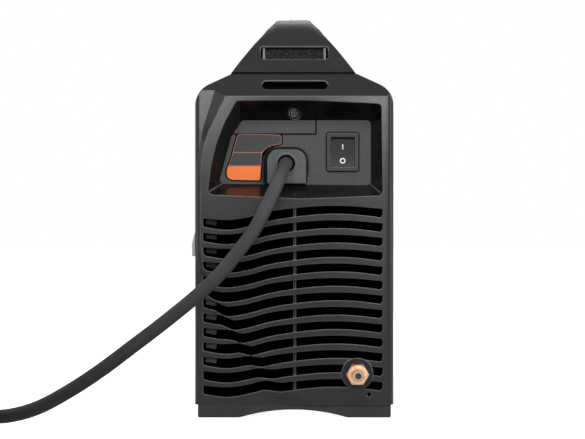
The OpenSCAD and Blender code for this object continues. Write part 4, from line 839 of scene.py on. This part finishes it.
# %% Boards, capacitors and windings
def board(name, along):
    """Green solder mask. Square cells pick which of two axes the tracks in them run along."""
    net = Net(name)
    squares = {"distance": "CHEBYCHEV"}
    cells = net.node("TexVoronoi", squares, {"Vector": net.place, "Scale": 140.0}, out=1)
    pick = net.node("SeparateXYZ", inputs={0: cells})
    run, cross = ((axis * 420.0).op("FRACT") > 0.55 for axis in (getattr(net, along), net.x))
    track = any_of(run * (pick > 0.5), cross * (pick < 0.5))
    return net.surface(
        net.mix(track, (0.008, 0.085, 0.035), (0.02, 0.17, 0.07)),
        track * 0.08 + 0.26,
        net.bump(track, 0.03, 0.2),
    )


def wire_coat(net, patch, tone, roughness, metallic, ridge, depth):
    """Enamelled copper wire, with a ridge for every turn."""
    return net.surface(
        net.mix(patch, tone, tinted(tone, 0.7)),
        roughness,
        net.bump(ridge.op("SINE").op("ABSOLUTE"), depth),
        Metallic=metallic,
    )


def wound(name, tone, centre, turns):
    """Wire wound round a core: ridges at equal angles about an upright axis."""
    net = Net(name)
    angle = (net.y - at_y(centre[1])).op("ARCTAN2", net.x - at_x(centre[0]))
    patch = net.noise(120.0, detail=3.0)
    return wire_coat(net, patch, tone, patch * 0.2 + 0.2, 0.7, angle * float(turns), 0.5)


def layered(name, tone):
    """Wire laid in level turns up a bobbin."""
    net = Net(name)
    patch = net.noise(90.0, detail=3.0)
    level = net.z * (math.pi / (1.2 * MM))
    return wire_coat(net, patch, tone, patch * 0.15 + 0.25, 0.6, level, 0.35)


def sleeve(name, tone, top, end_tone):
    """Shrink sleeve up the sides, with a bare end above a height given in millimetres."""
    net = Net(name)
    bare = net.z > top * MM
    wrinkle = net.noise(300.0, stretch=(1, 1, 0.2))
    return net.surface(
        net.mix(bare, tone, end_tone),
        wrinkle * 0.15 + bare * 0.1 + 0.2,
        net.bump(wrinkle, 0.05, 0.4),
        Metallic=bare * 0.9,
    )


CHOKE = (-22.0, -44.0)
hose_blue = moulded("hose_blue", (0.012, 0.07, 0.28), 0.3, grain=1.0, depth=0.01)
paint(board("main_board_mask", "y"), "main_board")
paint(board("control_board_mask", "z"), "control_board", "potentiometer")
paint(wound("choke_wire", (0.62, 0.26, 0.08), CHOKE, 46), "choke_winding")
paint(layered("transformer_wire", (0.66, 0.42, 0.12)), "transformer_winding")
paint(sleeve("capacitor_sleeve", (0.02, 0.05, 0.16), 215.0, (0.62, 0.62, 0.63)), "capacitors")
paint(moulded("ferrite", grey(62), 0.62, grain=0.8, depth=0.06), "transformer_core", "choke_core")
paint(zinc_plate("extrusion", (0.72, 0.73, 0.75), 0.36, (1, 0.04, 1)), "heat_sinks")
paint(hose_blue, "air_hose", "torch_hose")
paint(moulded("cast_valve", (0.40, 0.37, 0.30), 0.42, grain=0.7, depth=0.07), "air_valve")

# %% [markdown]
# ## Plates that lie on a surface
# A sticker could be painted on by a mask, but a thin plate with rounded corners catches the light
# at its rim as real vinyl does. The helpers below round a polygon's corners, draw it in by a
# margin and give it a thickness.

# %% Outlines
def rounded(points, radius, steps=4):
    """The polygon with each corner replaced by a short arc-like curve."""
    line = []
    count = len(points)
    for i, corner in enumerate(points):
        corner = Vector(corner)
        sides = [Vector(points[k % count]) - corner for k in (i - 1, i + 1)]
        reach = min(radius, *(side.length * 0.45 for side in sides))
        start, stop = (corner + side.normalized() * reach for side in sides)
        for s in range(steps + 1):
            t = s / steps
            line.append(start * (1 - t) ** 2 + corner * 2 * t * (1 - t) + stop * t**2)
    return line


def drawn_in(points, margin):
    """The polygon with every side moved inwards by a margin. Its points run anticlockwise."""
    line = []
    count = len(points)
    for i in range(count):
        here = Vector(points[i])
        first = (here - Vector(points[i - 1])).normalized()
        second = (Vector(points[(i + 1) % count]) - here).normalized()
        n1, n2 = Vector((-first.y, first.x)), Vector((-second.y, second.x))
        line.append(here + (n1 + n2) * margin / max(1 + n1.dot(n2), 0.2))
    return line


def arc(centre, radius, turns):
    """Points on a circle in X and Z, at angles given as parts of a turn."""
    x, z = centre
    angles = [2 * math.pi * turn for turn in turns]
    return [Vector((x + radius * math.cos(a), z + radius * math.sin(a))) for a in angles]


def oblong(centre, size):
    """A rectangle in X and Z."""
    (x, z), (wide, high) = centre, (size[0] / 2, size[1] / 2)
    corners = ((-1, -1), (1, -1), (1, 1), (-1, 1))
    return [Vector((x + a * wide, z + b * high)) for a, b in corners]


def bar(centre, size, radius=0.3):
    """A small bar with round corners."""
    return rounded(oblong(centre, size), radius, 3)


# %% Plates
def plate(name, outlines, front, thickness, finish, body=HOUSING, lay=at):
    """Plates with outlines in X and Z, their face at y = front, as one piece. lay puts a point
    in the frame, and may bend it on to a curved surface."""
    mesh = bmesh.new()
    for outline in outlines:
        area = sum(a.x * b.y - b.x * a.y for a, b in zip(outline, outline[1:] + outline[:1]))
        ring = outline if area > 0 else outline[::-1]
        near, far = (
            [mesh.verts.new(lay(p.x, y, p.y)) for p in ring] for y in (front, front + thickness)
        )
        mesh.faces.new(near)
        mesh.faces.new(far[::-1])
        for i in range(len(near)):
            k = (i + 1) % len(near)
            mesh.faces.new((near[k], near[i], far[i], far[k]))
    bmesh.ops.triangulate(mesh, faces=[f for f in mesh.faces if len(f.verts) > 4])
    data = bpy.data.meshes.new(name)
    mesh.to_mesh(data)
    mesh.free()
    data.materials.append(finish)
    add_piece(name, data, body)
    print(f"{name}: {len(outlines)} outlines, {len(data.polygons)} faces")


def vinyl(name, tone):
    """Printed vinyl: an even print with a slightly uneven film over it."""
    net = Net(name)
    film = net.noise(700.0)
    return net.surface(
        net.drift(net.noise(5200.0).step(0.3, 0.7), tone, 0.08),
        film * 0.12 + 0.34,
        net.bump(film, 0.01), gloss=0.1,
    )


# %% [markdown]
# ## The sticker in the recess
# A vinyl sticker without words or signs fills the left of the recess, cut out round the cable
# clamp. It has a salmon outline, two dark panes and an orange band. The outline is given once, and
# the panes and the band are cut from it and drawn in, so that they always fit.

# %% The sticker's outline and its panes
STICKER = [
    (-47.9, 223.0), (-51.8, 208.4), (-54.6, 201.6), (-55.6, 197.4), (-54.6, 193.4), (-51.2, 191.7),
    (-27.9, 191.2), (-27.2, 201.4), (-26.7, 212.9), (-22.8, 217.6), (-17.2, 220.0), (-11.4, 220.9),
    (-10.3, 222.4), (-10.7, 227.8), (-12.2, 228.5), (-28.0, 229.1), (-44.4, 229.4), (-46.6, 228.0),
]
STICKER_FOOT, STICKER_HEAD = 190.0, 230.0
BAND_TOP = 203.0
PANE_SPLIT = 214.2
LINE_OVERLAP = 0.2


def cut_between(points, low, high):
    """The part of a polygon between two heights that its outline crosses twice each."""
    line = []
    for (x0, z0), (x1, z1) in zip(points, points[1:] + points[:1]):
        if low <= z0 <= high:
            line.append((x0, z0))
        crossed = [level for level in (low, high) if (z0 - level) * (z1 - level) < 0]
        cuts = sorted(((level - z0) / (z1 - z0), level) for level in crossed)
        line += [(x0 + (x1 - x0) * t, level) for t, level in cuts]
    return line


sticker_rim = rounded(STICKER, 1.6)
border = rounded(drawn_in(STICKER, -1.1), 2.0)
band = rounded(drawn_in(cut_between(STICKER, STICKER_FOOT, BAND_TOP), 0.35), 1.6)
panes = [
    rounded(drawn_in(cut_between(STICKER, low, high), 0.42), 1.0)
    for low, high in (
        (BAND_TOP + LINE_OVERLAP, PANE_SPLIT), (PANE_SPLIT - LINE_OVERLAP, STICKER_HEAD)
    )
]
layers = (
    ("sticker_border", [border], 0.1, 0.09, moulded("border_ink", grey(4), 0.8, gloss=0.05)),
    ("sticker_backing", [sticker_rim], 0.16, 0.1, vinyl("vinyl_salmon", srgb(160, 98, 80))),
    ("sticker_panes", panes, 0.22, 0.08, vinyl("vinyl_dark", grey(60))),
    ("sticker_band", [band], 0.22, 0.08, vinyl("vinyl_orange", srgb(226, 118, 60))),
)
for name, outlines, lift, thickness, finish in layers:
    plate(name, outlines, RECESS_FLOOR - lift, thickness, finish)

# %% [markdown]
# ## The strainer in the air inlet
# A disc of sintered bronze is pressed into the mouth of the inlet's tube, and keeps grit out of
# the air valve. Its grain is the bronze powder.

# %% Strainer
CIRCLE_POINTS = 24
STRAINER_R = 2.42
STRAINER_FACE = -223.6
strainer = arc(INLET, STRAINER_R, [i / CIRCLE_POINTS for i in range(CIRCLE_POINTS)])
bronze = moulded("sintered_bronze", grey(48), 0.6, grain=0.3, depth=0.05, edge=0.2, gloss=0.3)
plate("inlet_strainer", [strainer], STRAINER_FACE, 1.4, bronze)

# %% [markdown]
# ## The marks on the rocker
# The rocker carries the usual bar for on and ring for off, pad-printed in white. Each point of the
# flat marks is bent on to the rocker's hollow face, and they turn with its body.

# %% Bar and ring
ROCKER_AT = (SWITCH[0], -172.0, SWITCH[1])
ROCKER_TILT = math.radians(10.0)
ROCKER_VALLEY = 6.6
ROCKER_DISH = 13.2 / math.sin(ROCKER_TILT)


def on_rocker(x, y, z):
    """A point at x and z on the rocker's face, lifted by -y, at rest."""
    face = -ROCKER_VALLEY - ROCKER_DISH + math.sqrt(ROCKER_DISH**2 - z**2) + y
    back = face * math.cos(ROCKER_TILT) - z * math.sin(ROCKER_TILT)
    rise = face * math.sin(ROCKER_TILT) + z * math.cos(ROCKER_TILT)
    return at(ROCKER_AT[0] + x, ROCKER_AT[1] + back, ROCKER_AT[2] + rise)


def ring_pieces(centre, outer, inner):
    """A flat ring as quarters, because a polygon has no hole."""
    steps = CIRCLE_POINTS // 4
    parts = []
    for quarter in range(4):
        turns = [(quarter + s / steps) / 4 for s in range(steps + 1)]
        parts.append(arc(centre, outer, turns) + arc(centre, inner, turns)[::-1])
    return parts


def upright_bar(centre, width, height, steps=4):
    """A bar cut across into short pieces, so that it can follow a curve."""
    part = height / steps
    foot = centre[1] - height / 2
    return [oblong((centre[0], foot + part * (s + 0.5)), (width, part)) for s in range(steps)]


mark_white = moulded("mark_white", grey(214), 0.5, grain=0.2, depth=0.004)
rocker_marks = {
    "switch_bar": upright_bar((0.0, 5.3), 0.9, 4.4),
    "switch_ring": ring_pieces((0.0, -6.2), 2.35, 1.35),
}
for name, outlines in rocker_marks.items():
    plate(name, outlines, -0.05, 0.08, mark_white, "switch_rocker", on_rocker)

# %% [markdown]
# ## Parts that repeat
# The blocks at the filter and the ticks of the current scale follow a rule, so Geometry Nodes make
# them. A tree takes its sizes as named inputs, sets a cube at each point and ends as a plain mesh.

# %% A kit for Geometry Nodes
class Tree(Net):
    """A Geometry Nodes tree with named inputs, run once on an empty object. Its wires take the
    same sums as a finish's do."""

    def __init__(self, name, sizes):
        self.name = name
        self.tree = bpy.data.node_groups.new(name, "GeometryNodeTree")
        face = self.tree.interface
        face.new_socket("Geometry", in_out="INPUT", socket_type="NodeSocketGeometry")
        self.values = {}
        for key, value in sizes.items():
            kind = "NodeSocketInt" if isinstance(value, int) else "NodeSocketFloat"
            socket = face.new_socket(key, in_out="INPUT", socket_type=kind)
            self.values[socket.identifier] = value
        face.new_socket("Geometry", in_out="OUTPUT", socket_type="NodeSocketGeometry")
        start = self.tree.nodes.new("NodeGroupInput")
        self.size = {key: Wire(self, start.outputs[key]) for key in sizes}
        self.index = self.geometry("InputIndex")

    def geometry(self, kind, **inputs):
        """Adds a Geometry node, wires it and gives its first output."""
        return self.node(kind, inputs=inputs, family="GeometryNode")

    def vector(self, x=0.0, y=0.0, z=0.0):
        """Three wires or numbers as a vector."""
        return self.node("CombineXYZ", inputs={"X": x, "Y": y, "Z": z})

    def grow(self, count, offset, sides, turn, finish, place, slot):
        """Sets a cube at each of count points, moved by offset and turned, runs the tree, and
        rides the plain piece on the housing. count and the cube's sides are named inputs."""
        points = self.geometry("MeshLine", Count=self.size[count], Offset=(0, 0, 0))
        points = self.geometry("SetPosition", Geometry=points, Offset=offset)
        cube = self.geometry("MeshCube", Size=self.vector(*(self.size[key] for key in sides)))
        cubes = self.geometry("InstanceOnPoints", Points=points, Instance=cube, Rotation=turn)
        real = self.geometry("RealizeInstances", Geometry=cubes)
        dressed = self.geometry("SetMaterial", Geometry=real, Material=finish)
        self.tree.links.new(dressed.socket, self.tree.nodes.new("NodeGroupOutput").inputs[0])
        seed = add(self.name + "_seed", bpy.data.meshes.new(self.name + "_seed"))
        modifier = seed.modifiers.new("grow", "NODES")
        modifier.node_group = self.tree
        for identifier, value in self.values.items():
            modifier[identifier] = value
        data = as_mesh(seed)
        data.transform(Matrix.Translation(place))
        add_piece(self.name, data, HOUSING)
        print(f"{self.name}: {len(data.polygons)} faces")


# %% [markdown]
# A small block in each slot keeps the foam off the slats' left ends. From the sixth row down the
# slots step up at the sculpted facet, and the blocks with them.

# %% Filter blocks
FIRST_BLOCK = at(-67.2, -189.0, 157.2)
blocks = Tree(
    "filter_blocks",
    {
        "Rows": 11, "Pitch": 11.6 * MM, "Step": 4.5 * MM, "Step Row": 5, "Width": 8.4 * MM,
        "Depth": 3.8 * MM, "Height": 4.0 * MM, "Slope": math.radians(9.0),
    },
)
stepped = blocks.index > blocks.size["Step Row"] - 0.5
rise = stepped * blocks.size["Step"] - blocks.index * blocks.size["Pitch"]


def block_plastic():
    """The blocks lie deeper in the shade behind the upper slats."""
    net = Net("block_plastic")
    grain = net.grain(0.5, roughness=0.5)
    shade = net.mix(net.z.step(95 * MM, 125 * MM), grey(62), grey(6))
    return net.surface(
        net.mix(grain.step(0.3, 0.8), shade, tinted(grey(60), 0.6)),
        grain * 0.1 + 0.5,
        net.bump(grain, 0.02, 0.4), gloss=0.15,
    )


blocks.grow(
    "Rows", blocks.vector(z=rise), ("Width", "Depth", "Height"),
    blocks.vector(y=blocks.size["Slope"]), block_plastic(), FIRST_BLOCK, "dark_plastic",
)

# %% [markdown]
# ## The current scale
# Eleven printed ticks stand round the knob over its 300 degrees of travel. The tree turns each
# point's number into an angle, and sets one thin tick there.

# %% Ticks round the knob
ticks = Tree(
    "scale_ticks",
    {
        "Ticks": 11, "Sweep": math.radians(300.0), "Radius": 20.6 * MM,
        "Width": 0.7 * MM, "Thickness": 0.08 * MM, "Length": 2.6 * MM,
    },
)
angle = (ticks.index / (ticks.size["Ticks"] - 1.0) - 0.5) * ticks.size["Sweep"]
across, up = (angle.op(wave) * ticks.size["Radius"] for wave in ("SINE", "COSINE"))
print_white = vinyl("print_white", grey(196))
ticks.grow(
    "Ticks", ticks.vector(x=across, z=up), ("Width", "Thickness", "Length"),
    ticks.vector(y=angle), print_white, at(KNOB[0], OVERLAY_FACE + 0.02, KNOB[1]), "pale_plastic",
)

# %% [markdown]
# ## Other print and the pointer
# A bar under each lamp, a line that parts the knob from the display and a frame round the display
# are all the print that the overlay has. The knob's pointer is a white strip laid in its groove.
# It rides on the knob's body.

# %% Print on the overlay
LAMPS_X = (-40.0, -28.0, -16.0, -4.0)
LAMP_BAR_Z = 204.2
PRINT_FACE = OVERLAY_FACE - 0.02
marks = [bar((x, LAMP_BAR_Z), (5.2, 0.7)) for x in LAMPS_X]
marks.append(bar((9.4, KNOB[1]), (0.5, 42.0), 0.2))
display_rim = [bar((-18.0, z), (41.4, 0.6), 0.2) for z in (232.9, 215.1)]
display_rim += [bar((x, 224.0), (0.6, 17.0), 0.2) for x in (-38.9, 2.9)]
print_grey = vinyl("print_grey", grey(92))
plate("overlay_print", marks, PRINT_FACE, 0.08, print_white)
plate("display_rim", display_rim, PRINT_FACE, 0.07, print_grey)

# %% The knob's pointer
KNOB_FACE = 206.6
pointer = bar((KNOB[0], KNOB[1] + 8.9), (1.2, 9.0), 0.4)
plate(
    "knob_pointer", [pointer], KNOB_FACE - 0.75, 0.5, print_white, "current_knob",
)

# %% [markdown]
# ## Floor, light and the finished scene
# The unit stands on white paper before a white wall, as in a product picture. Dark satin plastic
# shows its lamps more than its own colour, so each lamp has one task. Two small boxes in front
# light the top corners of the face, two faint strips its borders, and a corner box the upper
# right. Two large boxes at the sides round the body off. An edge box above picks out the slats, a
# far box the handle's top, and a front box the control side.

# %% Floor
def plainly_seen(net):
    """1 for rays from the camera, from mirrors and through glass, and 0 for light on surfaces."""
    kinds = ("Is Camera Ray", "Is Glossy Ray", "Is Transmission Ray")
    return any_of(*(net.node("LightPath", out=kind) for kind in kinds))


def white_paper():
    """White paper that the camera and mirrors see as white, and that still keeps the shadow."""
    net = Net("white_paper")
    far = net.x.hypot(net.y).step(0.45, 1.0)
    paper = net.node("BsdfDiffuse", inputs={"Color": (0.36, 0.36, 0.36)})
    glow = net.node("Emission", inputs={"Strength": plainly_seen(net) * (far * 0.05 + 0.95)})
    return net.end(net.node("AddShader", inputs={0: paper, 1: glow}))


floor_mesh = bpy.data.meshes.new("floor")
floor_mesh.from_pydata([(-6, -6, 0), (6, -6, 0), (6, 9, 0), (-6, 9, 0)], [], [(0, 1, 2, 3)])
floor_mesh.materials.append(white_paper())
add("floor", floor_mesh)

# %% World
SKY_ON_SURFACES = 0.4
SKY_SEEN = 1.0
sky = Net("studio", "worlds")
dim, white = (
    sky.node("Background", inputs={"Color": (1, 1, 1), "Strength": strength})
    for strength in (SKY_ON_SURFACES, SKY_SEEN)
)
pick = sky.node("MixShader", inputs={0: plainly_seen(sky), 1: dim, 2: white})
scene.world = sky.end(pick, "World")
print("world: white to the camera, dim to the object")


# %% Lamps
def soft_box(name, place, target, size, power):
    """A rectangular lamp of so many watts that looks at a point. Sizes are in metres."""
    data = bpy.data.lights.new(name, "AREA")
    data.shape = "RECTANGLE"
    data.size, data.size_y = size
    data.energy = power
    lamp = add(name, data)
    lamp.location = place
    lamp.rotation_euler = (Vector(target) - Vector(place)).to_track_quat("-Z", "Y").to_euler()
    print(f"{name}: {power} W over {size[0]} x {size[1]} m")


BODY = (0.0, 0.0, 0.15)
for side, name, low_power in ((-1, "left", 0.07), (1, "right", 0.22)):
    corner, border_foot = (side * 0.078, -0.2, 0.29), (side * 0.085, -0.2, 0.165)
    soft_box(name + "_box", (side * 0.122, -1.1, 0.364), corner, (0.05, 0.16), 1.5)
    soft_box(name + "_strip", (side * 0.133, -1.1, 0.168), border_foot, (0.06, 0.234), low_power)
soft_box("band_box", (-0.99, -1.04, 0.62), (-0.07, -0.2, 0.2), (0.5, 0.5), 1.6)
soft_box("corner_box", (0.38, -1.1, 0.37), (0.078, -0.2, 0.27), (0.12, 0.2), 1.6)
soft_box("left_side", (-1.4, 0.2, 0.8), BODY, (0.8, 0.8), 5.0)
soft_box("right_side", (1.4, -0.45, 0.45), BODY, (0.5, 0.8), 5.0)
soft_box("edge_box", (0.0, -0.95, 0.8), (0.0, -0.2, 0.15), (0.7, 0.2), 4.0)
soft_box("far_box", (0.0, 0.4, 1.2), (0.0, 0.0, 0.28), (1.0, 0.5), 9.0)
soft_box("front_box", (0.0, 1.5, 0.6), (0.0, 0.2, 0.15), (0.6, 0.5), 7.0)

# %% View settings and the end
scene.view_settings.view_transform = "Standard"
